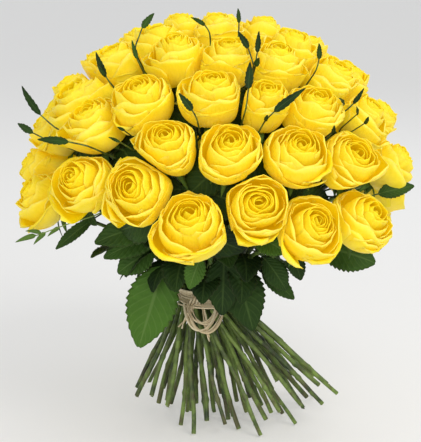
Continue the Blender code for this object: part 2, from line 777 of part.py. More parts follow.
def keep_outer_skin(thing):
    """Keep the largest connected skin, so that sealed hollows are filled and scraps dropped."""
    cage = bmesh.new()
    cage.from_mesh(thing.data)
    bmesh.ops.triangulate(cage, faces=cage.faces)
    waiting = set(cage.faces)
    skins = []
    while waiting:
        front = [waiting.pop()]
        skin = list(front)
        while front:
            for edge in front.pop().edges:
                if len(edge.link_faces) != 2:
                    continue
                for face in edge.link_faces:
                    if face in waiting:
                        waiting.discard(face)
                        front.append(face)
                        skin.append(face)
        skins.append(skin)
    skins.sort(key=len)
    for skin in skins[:-1]:
        bmesh.ops.delete(cage, geom=skin, context="FACES")
    cage.to_mesh(thing.data)
    cage.free()


def move_to(thing, collection):
    """Put an object in one collection only."""
    for old in list(thing.users_collection):
        old.objects.unlink(thing)
    collection.objects.link(thing)


def make_material(name, colour, roughness):
    """A plain material with a colour and a roughness."""
    material = bpy.data.materials.new(name)
    material.use_nodes = True
    shader = material.node_tree.nodes["Principled BSDF"]
    shader.inputs["Base Color"].default_value = (*colour, 1.0)
    shader.inputs["Roughness"].default_value = roughness
    shader.inputs["Metallic"].default_value = 0.0
    return material


def main():
    """Build the bouquet."""
    for thing in list(bpy.data.objects):
        bpy.data.objects.remove(thing)
    bouquet = bpy.data.collections.new("bouquet of roses")
    bpy.context.scene.collection.children.link(bouquet)

    heads = spread_heads()
    for head in heads:
        aim_head(head)
    find_neighbours(heads)
    slender_places = find_slender_places(heads)

    yellow = make_material("petals", (0.95, 0.70, 0.02), 0.55)
    green = make_material("greenery", (0.08, 0.20, 0.04), 0.5)
    straw = make_material("raffia", (0.62, 0.48, 0.28), 0.8)
    for number, head in enumerate(heads, start=1):
        make_bloom(number, head, bouquet).data.materials.append(yellow)
    make_greenery(heads, slender_places, bouquet).data.materials.append(green)
    make_tie(bouquet).data.materials.append(straw)


main()
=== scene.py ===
import math
import random

import bpy
import numpy as np
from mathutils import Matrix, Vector


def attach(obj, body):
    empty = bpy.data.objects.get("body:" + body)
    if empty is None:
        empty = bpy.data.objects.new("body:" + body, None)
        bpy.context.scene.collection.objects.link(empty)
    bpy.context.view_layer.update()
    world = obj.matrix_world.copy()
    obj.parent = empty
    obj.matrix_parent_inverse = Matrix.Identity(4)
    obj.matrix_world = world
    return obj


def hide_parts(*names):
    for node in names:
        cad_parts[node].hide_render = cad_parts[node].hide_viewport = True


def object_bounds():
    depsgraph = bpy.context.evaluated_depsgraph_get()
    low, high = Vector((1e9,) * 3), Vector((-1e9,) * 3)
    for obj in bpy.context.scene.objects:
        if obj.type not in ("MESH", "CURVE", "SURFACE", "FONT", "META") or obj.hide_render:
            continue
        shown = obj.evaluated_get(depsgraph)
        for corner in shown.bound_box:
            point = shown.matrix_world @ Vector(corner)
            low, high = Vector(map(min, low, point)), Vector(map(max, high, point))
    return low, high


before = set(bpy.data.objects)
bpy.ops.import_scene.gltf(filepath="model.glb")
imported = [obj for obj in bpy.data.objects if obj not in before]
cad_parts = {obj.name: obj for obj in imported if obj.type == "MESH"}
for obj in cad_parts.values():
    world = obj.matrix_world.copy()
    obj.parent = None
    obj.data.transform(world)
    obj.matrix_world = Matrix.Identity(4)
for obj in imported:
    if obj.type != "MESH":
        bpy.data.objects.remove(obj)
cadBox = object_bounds()

mm = 0.001                           # lengths are in millimetres until a mesh is made of them
fullTurn = 2.0 * math.pi
goldenTurn = math.radians(137.50776)
upward = Vector((0.0, 0.0, 1.0))

picture = {
    "middle": (210.5, 221.0),        # pixels
    "longSide": 442.0,
    "tilt": math.radians(14.0),
    "distance": 1500.0,
    "aim": Vector((-19.5, 0.0, 205.0)),
}
viewAxis = Vector((0.0, math.cos(picture["tilt"]), -math.sin(picture["tilt"])))
viewUp = Vector((0.0, -viewAxis.z, viewAxis.y))
eye = picture["aim"] - viewAxis * picture["distance"]


def lerp(a, b, t):
    return a + (b - a) * t


def turned(radius, angle, height):
    return Vector((radius * math.sin(angle), -radius * math.cos(angle), height))


def sight(across, down):
    x = across - picture["middle"][0]
    y = picture["middle"][1] - down
    return (viewAxis * picture["distance"] + Vector((x, 0.0, 0.0)) + viewUp * y).normalized()


def atDepth(across, down, depth):
    way = sight(across, down)
    return eye + way * ((depth - eye.y) / way.y)


# nodes, for geometry and for materials

class Field:
    def __init__(self, maker, socket):
        self.maker = maker
        self.socket = socket

    def __getitem__(self, name):
        # another output of the same node
        return Field(self.maker, self.maker.pick(self.socket.node.outputs, name))

    def sums(self, operation, *values):
        return self.maker.add("ShaderNodeMath", {"operation": operation}, *values)

    def __add__(self, other):
        return self.sums("ADD", self, other)

    def __sub__(self, other):
        return self.sums("SUBTRACT", self, other)

    def __rsub__(self, other):
        return self.sums("SUBTRACT", other, self)

    def __mul__(self, other):
        return self.sums("MULTIPLY", self, other)

    def __truediv__(self, other):
        return self.sums("DIVIDE", self, other)

    def __rtruediv__(self, other):
        return self.sums("DIVIDE", other, self)

    def __pow__(self, other):
        return self.sums("POWER", self, other)

    def __abs__(self):
        return self.sums("ABSOLUTE", self)

    __radd__ = __add__
    __rmul__ = __mul__

    def sin(self):
        return self.sums("SINE", self)

    def cos(self):
        return self.sums("COSINE", self)

    def smooth(self, low, high):
        # rises smoothly from 0 at low to 1 at high
        return self.maker.add("ShaderNodeMapRange", {"interpolation_type": "SMOOTHSTEP"},
                              Value=self, From_Min=low, From_Max=high)

    def mix(self, first, second):
        # a colour between two, by this field
        first, second = (one if isinstance(one, Field) else (*one, 1.0) for one in (first, second))
        return self.maker.add("ShaderNodeMix", {"data_type": "RGBA"}, Factor=self, A=first, B=second)


class Maker:
    def __init__(self, tree):
        self.tree = tree

    def pick(self, sockets, name):
        live = [socket for socket in sockets if not socket.is_unavailable]
        return live[name] if isinstance(name, int) else next(one for one in live if one.name == name)

    def add(self, kind, settings=None, *values, out=0, **named):
        # a node with its settings, then its sockets by place or by name, with _ for a space
        node = self.tree.nodes.new(kind)
        for name, value in (settings or {}).items():
            setattr(node, name, value)
        given = dict(enumerate(values))
        given.update((name.replace("_", " "), value) for name, value in named.items())
        for name, value in given.items():
            socket = self.pick(node.inputs, name)
            for one in value if isinstance(value, list) else [value]:
                if isinstance(one, Field):
                    self.tree.links.new(one.socket, socket)
                else:
                    socket.default_value = one
        return Field(self, self.pick(node.outputs, out)) if len(node.outputs) else node

    def vector(self, operation, *values):
        return self.add("ShaderNodeVectorMath", {"operation": operation}, *values)

    def scaled(self, vector, amount):
        return self.add("ShaderNodeVectorMath", {"operation": "SCALE"}, Vector=vector, Scale=amount)

    def total(self, first, *others):
        # the sum of vectors, each times its own amount
        whole = self.scaled(*first)
        for term in others:
            whole = self.vector("ADD", whole, self.scaled(*term))
        return whole

    def joined(self, x, y, z):
        return self.add("ShaderNodeCombineXYZ", None, x, y, z)

    def split(self, vector):
        return self.add("ShaderNodeSeparateXYZ", Vector=vector)

    def noise(self, vector, scale, detail):
        return self.add("ShaderNodeTexNoise", Vector=vector, Scale=scale, Detail=detail)

    def bump(self, strength, distance, height):
        return self.add("ShaderNodeBump", Strength=strength, Distance=distance, Height=height)

    def read(self, *names):
        # a mesh's own values, for a material
        return [self.add("ShaderNodeAttribute", {"attribute_name": name}, out="Fac") for name in names]

    def own(self, name, kind="FLOAT"):
        # a mesh's own values, for a shape
        return self.add("GeometryNodeInputNamedAttribute", {"data_type": kind}, Name=name)

    def store(self, geometry, name, value):
        return self.add("GeometryNodeStoreNamedAttribute", {"data_type": "FLOAT", "domain": "POINT"},
                        Geometry=geometry, Name=name, Value=value)

    def chance(self, low, high, number, seed, kind="FLOAT"):
        return self.add("FunctionNodeRandomValue", {"data_type": kind}, Min=low, Max=high, ID=number,
                        Seed=seed)

    def sheets(self, points, columns, rows):
        # a grid on every point, which knows its places across from -1 to 1 and along from 0 to 1
        sheet = self.add("GeometryNodeMeshGrid", Size_X=2.0, Size_Y=1.0, Vertices_X=columns, Vertices_Y=rows)
        place = self.split(self.add("GeometryNodeInputPosition"))
        sheet = self.store(sheet, "across", place["X"])
        sheet = self.store(sheet, "along", place["Y"] + 0.5)
        sheets = self.add("GeometryNodeInstanceOnPoints", Points=points, Instance=sheet)
        return self.add("GeometryNodeRealizeInstances", Geometry=sheets)

    def plain(self, geometry, material):
        # every tree ends in real faces with their material
        geometry = self.add("GeometryNodeRealizeInstances", Geometry=geometry)
        return self.add("GeometryNodeSetMaterial", Geometry=geometry, Material=material)

    def finish(self, geometry, material):
        geometry = self.add("GeometryNodeSetShadeSmooth", Geometry=geometry)
        self.add("NodeGroupOutput", Geometry=self.plain(geometry, material))
        return self.tree


def newTree(name, **inputs):
    # an input's type follows from its usual value or, where it has none, from the end of its name
    tree = bpy.data.node_groups.new(name, "GeometryNodeTree")
    kinds = {int: "Int", float: "Float", bool: "Bool"}
    for title, value in inputs.items():
        kind = kinds.get(type(value), title.split("_")[-1])
        socket = tree.interface.new_socket(name=title.replace("_", " "), in_out="INPUT",
                                           socket_type="NodeSocket" + kind)
        if value is not None:
            socket.default_value = value
    tree.interface.new_socket(name="Geometry", in_out="OUTPUT", socket_type="NodeSocketGeometry")
    maker = Maker(tree)
    return maker, maker.add("NodeGroupInput")


def placed(name, data):
    thing = bpy.data.objects.new(name, data)
    bpy.context.scene.collection.objects.link(thing)
    return thing


def grown(source, tree, **values):
    # run a tree on a mesh, and give the plain mesh that it makes
    holder = placed("holder", source)
    modifier = holder.modifiers.new("grow", "NODES")
    modifier.node_group = tree
    for item in tree.interface.items_tree:
        title = item.name.replace(" ", "_")
        if item.in_out == "INPUT" and title in values:
            modifier[item.identifier] = values[title]
    graph = bpy.context.evaluated_depsgraph_get()
    mesh = bpy.data.meshes.new_from_object(holder.evaluated_get(graph), preserve_all_data_layers=True,
                                           depsgraph=graph)
    bpy.data.objects.remove(holder)
    return mesh


def pointMesh(places, values=None, edges=()):
    # loose points in millimetres, with an attribute for each named value
    mesh = bpy.data.meshes.new("points")
    mesh.from_pydata([tuple(Vector(place) * mm) for place in places], list(edges), [])
    for name, row in (values or {}).items():
        flat = np.array([tuple(v) if isinstance(v, Vector) else v for v in row], dtype=np.float32)
        kind, field = ("FLOAT_VECTOR", "vector") if flat.ndim > 1 else ("FLOAT", "value")
        mesh.attributes.new(name, kind, "POINT").data.foreach_set(field, flat.ravel())
    return mesh


def lineMesh(lines):
    # lines of (points, tone, values at the points) as one mesh of loose edges
    places, edges, rows = [], [], {}
    for line, tone, values in lines:
        first, last = len(places), len(line) - 1
        places += line
        edges += [(first + k, first + k + 1) for k in range(last)]
        whole = dict(values, tone=[tone] * len(line), along=[k / last for k in range(len(line))])
        for name, row in whole.items():
            rows.setdefault(name, []).extend(row)
    return pointMesh(places, rows, edges)


def addPiece(name, mesh, nodes, thickness=0.0, otherSide=0):
    mesh.name = name
    piece = placed(name, mesh)
    if thickness:
        solid = piece.modifiers.new("thickness", "SOLIDIFY")
        solid.thickness = thickness * mm
        solid.offset = 0.0
        solid.material_offset = otherSide
        solid.material_offset_rim = otherSide
    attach(piece, "root")
    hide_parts(*nodes)
    return piece


# materials

def newMaterial(name, roughness, **constants):
    material = bpy.data.materials.new(name)
    material.use_nodes = True
    links = material.node_tree.links
    inputs = material.node_tree.nodes["Principled BSDF"].inputs
    inputs["Roughness"].default_value = roughness
    for title, value in constants.items():
        inputs[title.replace("_", " ")].default_value = value
    maker = Maker(material.node_tree)

    def feed(**fields):
        for title, field in fields.items():
            links.new(field.socket, inputs[title.replace("_", " ")])
        return material

    return maker, maker.add("ShaderNodeTexCoord", out="Object"), feed


def petalMaterial(name, tip, deep, heart, heel, heelShare):
    # the petals glow faintly in warm yellow: a painted glow that stands in for light shining through real
    # petals and lifts their deep parts
    maker, place, feed = newMaterial(
        name, 0.5, Subsurface_Weight=0.3, Subsurface_Radius=(1.0, 0.75, 0.08), Subsurface_Scale=0.004,
        Specular_IOR_Level=0.3, Emission_Color=(1.0, 0.76, 0.0, 1.0), Emission_Strength=0.09)
    along, across, openness, tone = maker.read("along", "across", "openness", "tone")
    depth = (1.0 - along).smooth(0.1, 0.7) + maker.noise(place, 60.0, 3.0) * 0.3 - 0.15
    inside = (1.0 - openness).smooth(0.3, 1.0) * 0.75
    pale = (1.0 - along).smooth(0.3, 0.9) * openness * (heelShare * (0.4 + 1.2 * tone))
    # the rolled rims are paler: partly the petal's own pale margin, partly a painted highlight where the roll
    # catches the light
    paleRimAndHighlight = along.smooth(0.72, 0.97) * openness.smooth(0.3, 0.9) * 0.7
    colour = depth.mix(tip, deep)
    for mask, other in ((inside, heart), (pale, heel), (paleRimAndHighlight, (0.98, 0.80, 0.14))):
        colour = mask.mix(colour, other)
    veins = maker.noise(maker.joined(across * 9.0, along * 1.2, tone * 30.0), 3.0, 3.0)
    folds = maker.noise(maker.joined(across * 3.5, along * 2.0, tone * 70.0), 1.6, 2.0)
    return feed(Base_Color=colour, Roughness=veins * 0.2 + 0.42,
                Normal=maker.bump(0.55, 0.0022, folds + veins * 0.25))


def sideVeins(along, side):
    # runs up and down once for each side vein of a leaf, which leaves the midrib at a slant
    return ((along * 9.0 - side * 2.6) * fullTurn).cos()


def leafMaterial(name, dark, bright, vein, roughness):
    maker, place, feed = newMaterial(name, roughness, Specular_IOR_Level=0.12)
    along, across, tone = maker.read("along", "across", "tone")
    side = abs(across)
    midrib = 1.0 - side.smooth(0.02, 0.09)
    ribs = sideVeins(along, side) * 0.5
    lateral = (ribs + 0.5).smooth(0.86, 1.0) * side.smooth(0.02, 0.12) * (1.0 - side.smooth(0.8, 1.0))
    patches = maker.noise(place, 45.0, 4.0)
    colour = (tone + patches * 0.5 - 0.25).mix(dark, bright)
    colour = ((midrib + lateral * 0.4) * (0.15 + 0.35 * tone)).mix(colour, vein)
    colour = (side.smooth(0.88, 1.0) * 0.35).mix(colour, (0.05, 0.045, 0.015))
    height = ribs * side.smooth(0.0, 0.3) - midrib * 0.9 + maker.noise(place, 900.0, 2.0) * 0.35
    return feed(Base_Color=colour, Roughness=patches * 0.25 + roughness,
                Normal=maker.bump(0.5, 0.0006, height))


def stemMaterial():
    maker, place, feed = newMaterial("stem skin", 0.45, Specular_IOR_Level=0.4)
    height = maker.split(place)["Z"]
    tone, = maker.read("tone")
    patches = maker.noise(place, 95.0, 4.0)
    # dark to bright green, per stem and in patches: partly the stems' own uneven colour, partly painted light
    # and shade, bright yellow-green painted highlights and near-black painted shade
    toneAndPaintedLight = tone * 0.75 + patches.smooth(0.36, 0.64) * 0.5 - 0.15
    colour = toneAndPaintedLight.mix((0.010, 0.024, 0.007), (0.20, 0.30, 0.055))
    streaks = maker.noise(maker.add("ShaderNodeMapping", Vector=place, Scale=(1.0, 1.0, 0.22)), 160.0, 3.0)
    brown = (1.0 - height).smooth(0.86, 1.0) * streaks.smooth(0.42, 0.62) * 0.65
    colour = brown.mix(colour, (0.085, 0.055, 0.028))
    return feed(Base_Color=colour, Roughness=patches * 0.3 + 0.3,
                Normal=maker.bump(0.3, 0.0004, maker.noise(place, 500.0, 3.0)))


def cutMaterial():
    maker, place, feed = newMaterial("cut end", 0.7, Specular_IOR_Level=0.3)
    patches = maker.noise(place, 400.0, 4.0)
    colour = patches.smooth(0.3, 0.7).mix((0.42, 0.46, 0.22), (0.62, 0.60, 0.38))
    return feed(Base_Color=colour, Roughness=patches * 0.2 + 0.6,
                Normal=maker.bump(0.4, 0.0005, maker.noise(place, 3200.0, 3.0)))


def raffiaMaterial():
    maker, place, feed = newMaterial("raffia straw", 0.7, Specular_IOR_Level=0.25)
    along, across, tone = maker.read("along", "across", "tone")
    grain = maker.noise(maker.joined(across * 5.0, along * 40.0, tone * 50.0), 2.0, 4.0)
    colour = (tone * 0.6 + grain * 0.6 - 0.1).mix((0.52, 0.39, 0.21), (1.0, 0.90, 0.66))
    return feed(Base_Color=colour, Roughness=grain * 0.3 + 0.5, Normal=maker.bump(0.6, 0.0004, grain))


petalFace = petalMaterial("petal face", (0.95, 0.70, 0.010), (0.92, 0.66, 0.003),
                          (0.93, 0.67, 0.003), (0.92, 0.62, 0.01), 0.3)
petalBack = petalMaterial("petal back", (0.95, 0.71, 0.02), (0.92, 0.68, 0.02),
                          (0.93, 0.67, 0.003), (0.92, 0.76, 0.24), 0.5)
leafGreen = leafMaterial("leaf", (0.008, 0.020, 0.006), (0.075, 0.175, 0.022), (0.16, 0.26, 0.07), 0.46)
leafUnder = leafMaterial("leaf underside", (0.03, 0.055, 0.025), (0.12, 0.20, 0.06), (0.18, 0.26, 0.10), 0.6)
sepalGreen = leafMaterial("sepal", (0.03, 0.075, 0.012), (0.12, 0.22, 0.04), (0.16, 0.26, 0.08), 0.5)
stemSkin = stemMaterial()
cutEnd = cutMaterial()
raffiaStraw = raffiaMaterial()
print("materials made")


# the faces of the roses lie on a dome

dome = {
    "centre": Vector((-14.0, 0.0, 237.0)),
    "wide": 193.0,
    "front": 195.0,
    "behind": 174.0,
    "high": 177.0,
    "lowest": 0.07,                  # sine of the lowest elevation of a face
    "crowding": 0.82,                # distance of two roses as a share of their width
    "crowdingBehind": 1.04,
    "rounds": 60,                    # of pushing the roses apart
    "home": 0.04,                    # how much a rose returns to its place in each round
    "homeBehind": 0.02,
    "bodyDepth": 22.0,
    "facingPull": 0.25,
    "neighbourGap": 14.0,
}

rose = {
    "height": 48.0,
    "rimDepth": 12.0,
    "petalGap": 0.4,
    "pressedFrom": 0.82,
    "cornerPower": 8.0,
    "thickness": 0.45,
    "ripple": 0.15,
    "waveHeight": 1.6,
    "fullness": 1.07,                # before the neighbours press the petals back
    "petals": 24,
    "petalsBehind": 16,
    "grid": (12, 13),                # points across and along a petal
    "gridBehind": (8, 9),
    # pixel across, pixel down, width, turned to the front, raised by degrees
    "seen": (
        (45, 181, 60, 0, 30), (86, 179, 60, 1, 16), (142, 183, 70, 1, 17), (191, 207, 70, 0, 42),
        (257, 201, 64, 1, 14), (308, 218, 60, 0, 32), (358, 212, 62, 0, 38), (389, 150, 62, 0, 26),
        (37, 150, 56, 0, 17), (52, 131, 58, 0, 17), (98, 116, 64, 0, 26), (169, 140, 64, 1, 31),
        (229, 143, 70, 1, 35), (292, 146, 70, 1, 33), (346, 154, 62, 1, 28),
        (80, 84, 60, 0, 17), (144, 96, 68, 0, 22), (211, 90, 72, 0, 24), (263, 98, 54, 0, 24),
        (308, 105, 62, 0, 24), (358, 113, 58, 0, 17), (380, 116, 58, 0, 17),
        (127, 60, 60, 0, 17), (176, 51, 62, 0, 17), (226, 59, 60, 0, 17), (274, 61, 62, 0, 17),
        (326, 74, 62, 0, 17), (101, 50, 60, 0, 17),
        (141, 35, 60, 0, 17), (183, 22, 60, 0, 17), (215, 35, 60, 0, 17), (256, 25, 60, 0, 17),
        (222, 14, 60, 0, 17), (296, 43, 60, 0, 17),
    ),
    # elevation, first and last azimuth, how many
    "behind": ((9, 114, 250, 8), (27, 98, 266, 7), (46, 92, 268, 5), (65, 105, 255, 4)),
    "widthBehind": 74.0,
    "raisedBehind": 17.0,
}


def eachBy(vector, axes):
    return Vector([value / axis for value, axis in zip(vector, axes)])


def domeAxes(y, rise=0.0):
    depth = dome["behind"] if y > 0 else dome["front"]
    return Vector((dome["wide"] + rise, depth + rise, dome["high"] + rise))


def onDome(point):
    axes = domeAxes(point.y)
    way = eachBy(point - dome["centre"], axes).normalized()
    way.z = max(way.z, dome["lowest"])
    return dome["centre"] + way.normalized() * axes


def seenOnDome(across, down, rise=0.0):
    axes = domeAxes(-1.0, rise)
    way = sight(across, down)
    start = eachBy(eye - dome["centre"], axes)
    step = eachBy(way, axes)
    a = step.dot(step)
    b = start.dot(step)
    room = b * b - a * (start.dot(start) - 1.0)
    distance = (-b - math.sqrt(room)) / a if room > 0 else -b / a
    return eye + way * distance


def outwardAt(point):
    axes = domeAxes(point.y)
    return eachBy(eachBy(point - dome["centre"], axes), axes).normalized()


def partTwo(one, other):
    apart = one["face"] - other["face"]
    crowding = dome["crowding"] if one["seen"] or other["seen"] else dome["crowdingBehind"]
    wanted = (one["width"] + other["width"]) / 2 * crowding
    if apart.length >= wanted:
        return
    step = apart * ((wanted - apart.length) / 2 / apart.length)
    # a rose that the photograph shows gives way less than a hidden one
    share = 0.5 if one["seen"] == other["seen"] else 0.2 if one["seen"] else 0.8
    one["face"] = onDome(one["face"] + step * share)
    other["face"] = onDome(other["face"] - step * (1 - share))


def spreadHeads():
    heads = []
    for across, down, width, facing, raised in rose["seen"]:
        place = onDome(seenOnDome(across, down, -dome["bodyDepth"]))
        heads.append({"face": place, "width": width, "facing": facing, "raised": raised, "seen": True})
    for elevation, first, last, count in rose["behind"]:
        for k in range(count):
            azimuth = math.radians(lerp(first, last, k / (count - 1)))
            height = math.radians(elevation)
            way = turned(math.cos(height), azimuth, math.sin(height))
            heads.append({"face": onDome(dome["centre"] + way * dome["wide"]), "width": rose["widthBehind"],
                          "facing": 0, "raised": rose["raisedBehind"], "seen": False})
    homes = [head["face"].copy() for head in heads]
    for _ in range(dome["rounds"]):
        for i, one in enumerate(heads):
            for other in heads[:i]:
                partTwo(one, other)
        for head, home in zip(heads, homes):
            head["face"] = onDome(lerp(head["face"], home, dome["home" if head["seen"] else "homeBehind"]))
    return heads


def aimHead(head):
    way = head["face"] - dome["centre"]
    azimuth = math.atan2(way.x, -way.y)
    elevation = math.asin(min(1.0, way.z / dome["high"]))
    raised = elevation + math.radians(head["raised"]) * math.sqrt(max(0.0, math.cos(elevation)))
    axis = turned(math.cos(raised), azimuth, math.sin(raised))
    if head["facing"]:
        axis = (axis - viewAxis * dome["facingPull"]).normalized()
    head["axis"] = axis
    head["rim"] = head["face"] - axis * rose["rimDepth"]
    head["foot"] = head["face"] - axis * rose["height"]
    head["side"] = axis.cross(upward if abs(axis.z) < 0.95 else viewAxis).normalized()
    head["over"] = axis.cross(head["side"])


def findWalls(heads):
    # what holds a rose's petals back: its neighbours, and the sides of the solids' box
    low, high = (Vector(corner) / mm for corner in cadBox)
    for head in heads:
        head["walls"] = []
        head["boxWalls"] = []
        for other in heads:
            way = other["rim"] - head["rim"]
            if other is head or way.length > (head["width"] + other["width"]) / 2 + dome["neighbourGap"]:
                continue
            share = head["width"] / (head["width"] + other["width"])
            head["walls"].append((way.normalized(), way.length * share))
        for axis in range(3):
            for sign, limit in ((-1.0, low[axis]), (1.0, high[axis])):
                way = Vector((0.0, 0.0, 0.0))
                way[axis] = sign
                distance = (limit - head["rim"][axis]) * sign
                if distance < head["width"]:
                    head["boxWalls"].append((way, distance - rose["thickness"]))


def softLimit(reach, limit):
    # as it was below the start of the press, then ever closer to the limit
    start = limit * rose["pressedFrom"]
    over = np.maximum(reach - start, 0.0)
    return reach - over + (limit - start) * (1.0 - np.exp(-over / (limit - start)))


def pressed(points, head):
    # the neighbours press the petals softly towards the rose's axis, with rounded corners between two of them
    rim = np.array(head["rim"])
    axis = np.array(head["axis"])
    power = rose["cornerPower"]
    for _ in range(2):
        way = points - rim
        crowd = np.full(len(points), 1e-9)
        for normal, distance in head["walls"]:
            crowd += np.maximum(way @ np.array(normal) / (distance - rose["petalGap"]), 0.0) ** power
        crowd = crowd ** (1.0 / power)
        sideways = way - np.outer(way @ axis, axis)
        points = points - sideways * (1.0 - softLimit(crowd, 1.0) / crowd)[:, None]
    for normal, distance in head["boxWalls"]:
        reach = (points - rim) @ np.array(normal)
        points = points - np.outer(reach - softLimit(reach, distance), normal)
    return points


def valuesOf(mesh, name):
    values = np.empty(len(mesh.vertices))
    mesh.attributes[name].data.foreach_get("value", values)
    return values


def rippled(points, mesh, head, axes):
    # margins wave inwards and up or down again after the pressing, each petal in its own way
    way = (points - np.array(head["foot"])) @ axes.T
    angle = np.arctan2(way[:, 1], way[:, 0])
    tone = valuesOf(mesh, "tone")
    share = np.clip(valuesOf(mesh, "along") * 2.0 - 1.0, 0.0, 1.0) ** 1.5 * valuesOf(mesh, "openness")
    wave = 0.5 + 0.3 * np.sin(5.0 * angle + 40.0 * tone) + 0.2 * np.sin(11.0 * angle + 70.0 * tone)
    way[:, :2] *= (1.0 - rose["ripple"] * share * wave)[:, None]
    way[:, 2] += rose["waveHeight"] * share * np.sin(4.0 * angle + 55.0 * tone)
    return way @ axes + np.array(head["foot"])


# a petal's form as shares of the rose's radius and height: each pair is for the inmost and the outmost petal
petal = {
    "rowPower": 1.35,                # the rows lie closer together towards the rim
    "width": (90.0, 66.0),           # degrees round the rose
    "cornerCut": (0.12, 0.25),
    "belly": (0.40, 0.94),
    "bellyRise": (0.12, 0.0),
    "shoulder": (0.16, 0.24),
    "shoulderRise": (0.84, 0.52),
    "skew": (0.10, 0.05),
    "lean": (0.35, 1.0),
    "curl": (0.6, 2.4),
    "spread": 0.72,
    "lowered": 0.34,
    "flare": 0.13,                   # a few outmost petals spread further than the rest
    "roll": (0.095, 0.075),          # of the rim, outwards and down
    "corner": (0.06, 0.05),          # folded back, outwards and down
    # waves of the margin: height, turns across the petal, number of the random draw, power along the petal
    "reachWaves": ((0.070, 4.6, 5, 3.0),),
    "riseWaves": ((0.045, 3.2, 4, 3.0), (0.032, 8.0, 8, 5.0)),
}


def petalTree():
    # a line of points carries a petal each, and every petal is a bent sheet
    maker, given = newTree(
        "rose petals", Petals=21, Columns=11, Rows=13, Radius=30.0, Height=48.0, Openness=1.0, Heart=0.9,
        Dip=0.05, Oval=0.05, Heart_Shift=0.0, Seed=1, Material=None)
    points = maker.add("GeometryNodeMeshLine", Count=given["Petals"], Offset=(0.0, 0.0, 0.0))
    points = maker.store(points, "petal", maker.add("GeometryNodeInputIndex"))
    petals = maker.sheets(points, given["Columns"], given["Rows"])
    number = maker.own("petal")
    s = maker.own("across")
    t = 1.0 - (1.0 - maker.own("along")) ** petal["rowPower"] * 0.98
    side = abs(s)

    def draw(n):
        return maker.chance(-1.0, 1.0, number, given["Seed"] * 10 + n)

    def wave(height, turns, n, power):
        return height * o * (turns * s + 3.0 * draw(n)).sin() * t ** power

    # o is 0 for the inmost petal of the heart and 1 for the outmost of the cup
    o = (1.0 - number / (given["Petals"] - 1)) ** given["Heart"]
    cup = o.smooth(0.45, 0.9)
    width = lerp(*petal["width"], o ** 0.8) * (1.0 + 0.15 * draw(0)) * math.radians(1.0)
    # from its foot over belly and shoulder to its edge a petal follows a curve with four stops
    tt = t * (1.0 - lerp(*petal["cornerCut"], cup) * side ** 2.6)
    one = 1.0 - tt
    b = 3.0 * tt * one ** 2.0
    c = 3.0 * tt * tt * one
    d = tt ** 3.0
    edge = (0.03 + given["Openness"] * petal["spread"] * o ** 0.85 + 0.11 * o.smooth(0.6, 0.85)
            + (0.05 + 0.07 * cup) * draw(1) * o)
    reach = (0.06 * one ** 3.0 + b * lerp(*petal["belly"], o) + c * (edge + lerp(*petal["shoulder"], cup))
             + d * edge)
    top = 1.0 - petal["lowered"] * o ** 2.2 - given["Dip"] * (1.0 - o) ** 3.0 + 0.065 * draw(2) * o
    rise = b * lerp(*petal["bellyRise"], o) + c * lerp(*petal["shoulderRise"], o) + d * top
    reach = reach * (1.0 + s * lerp(*petal["skew"], o))
    flare = petal["flare"] * o.smooth(0.8, 0.95) * draw(11).smooth(0.1, 0.6)
    reach = reach + flare * t * t
    rise = rise - 0.8 * flare * t ** 3.0
    # the rim rolls outwards, more on the outer petals, and more on some than on others
    roll = lerp(0.12, 1.0 + 0.7 * draw(3), cup) * (0.8 + 0.6 * side * side)
    curl = tt.smooth(0.74, 1.0) * lerp(*petal["curl"], cup)
    reach = reach + petal["roll"][0] * roll * (curl.sin() + 0.3 * curl)
    rise = rise - petal["roll"][1] * roll * (1.0 - curl.cos())
    # one side of a petal stands higher, and corners fold back
    rise = rise + 0.07 * s * draw(9) * lerp(*petal["lean"], o) * t
    corner = side.smooth(0.5, 1.0) * t.smooth(0.4, 1.0) * cup
    reach = reach + petal["corner"][0] * corner * (1.0 + draw(10))
    rise = rise - petal["corner"][1] * corner
    for form in petal["riseWaves"]:
        rise = rise + wave(*form)
    for form in petal["reachWaves"]:
        reach = reach + wave(*form)
    angle = number * goldenTurn + (0.30 + 0.25 * o) * draw(6) + width * s
    oval = 1.0 + given["Oval"] * (2.0 * angle + given["Seed"]).cos() * (1.0 - 0.5 * cup)
    reach = reach * oval * given["Radius"]
    shift = given["Heart Shift"] * (1.0 - cup) * t * given["Radius"]
    spot = maker.joined(reach * angle.cos() + shift, reach * angle.sin(), rise * given["Height"])
    petals = maker.store(petals, "openness", o)
    petals = maker.store(petals, "tone", draw(7) * 0.5 + 0.5)
    petals = maker.add("GeometryNodeSetPosition", Geometry=petals, Position=spot)
    return maker.finish(petals, given["Material"])


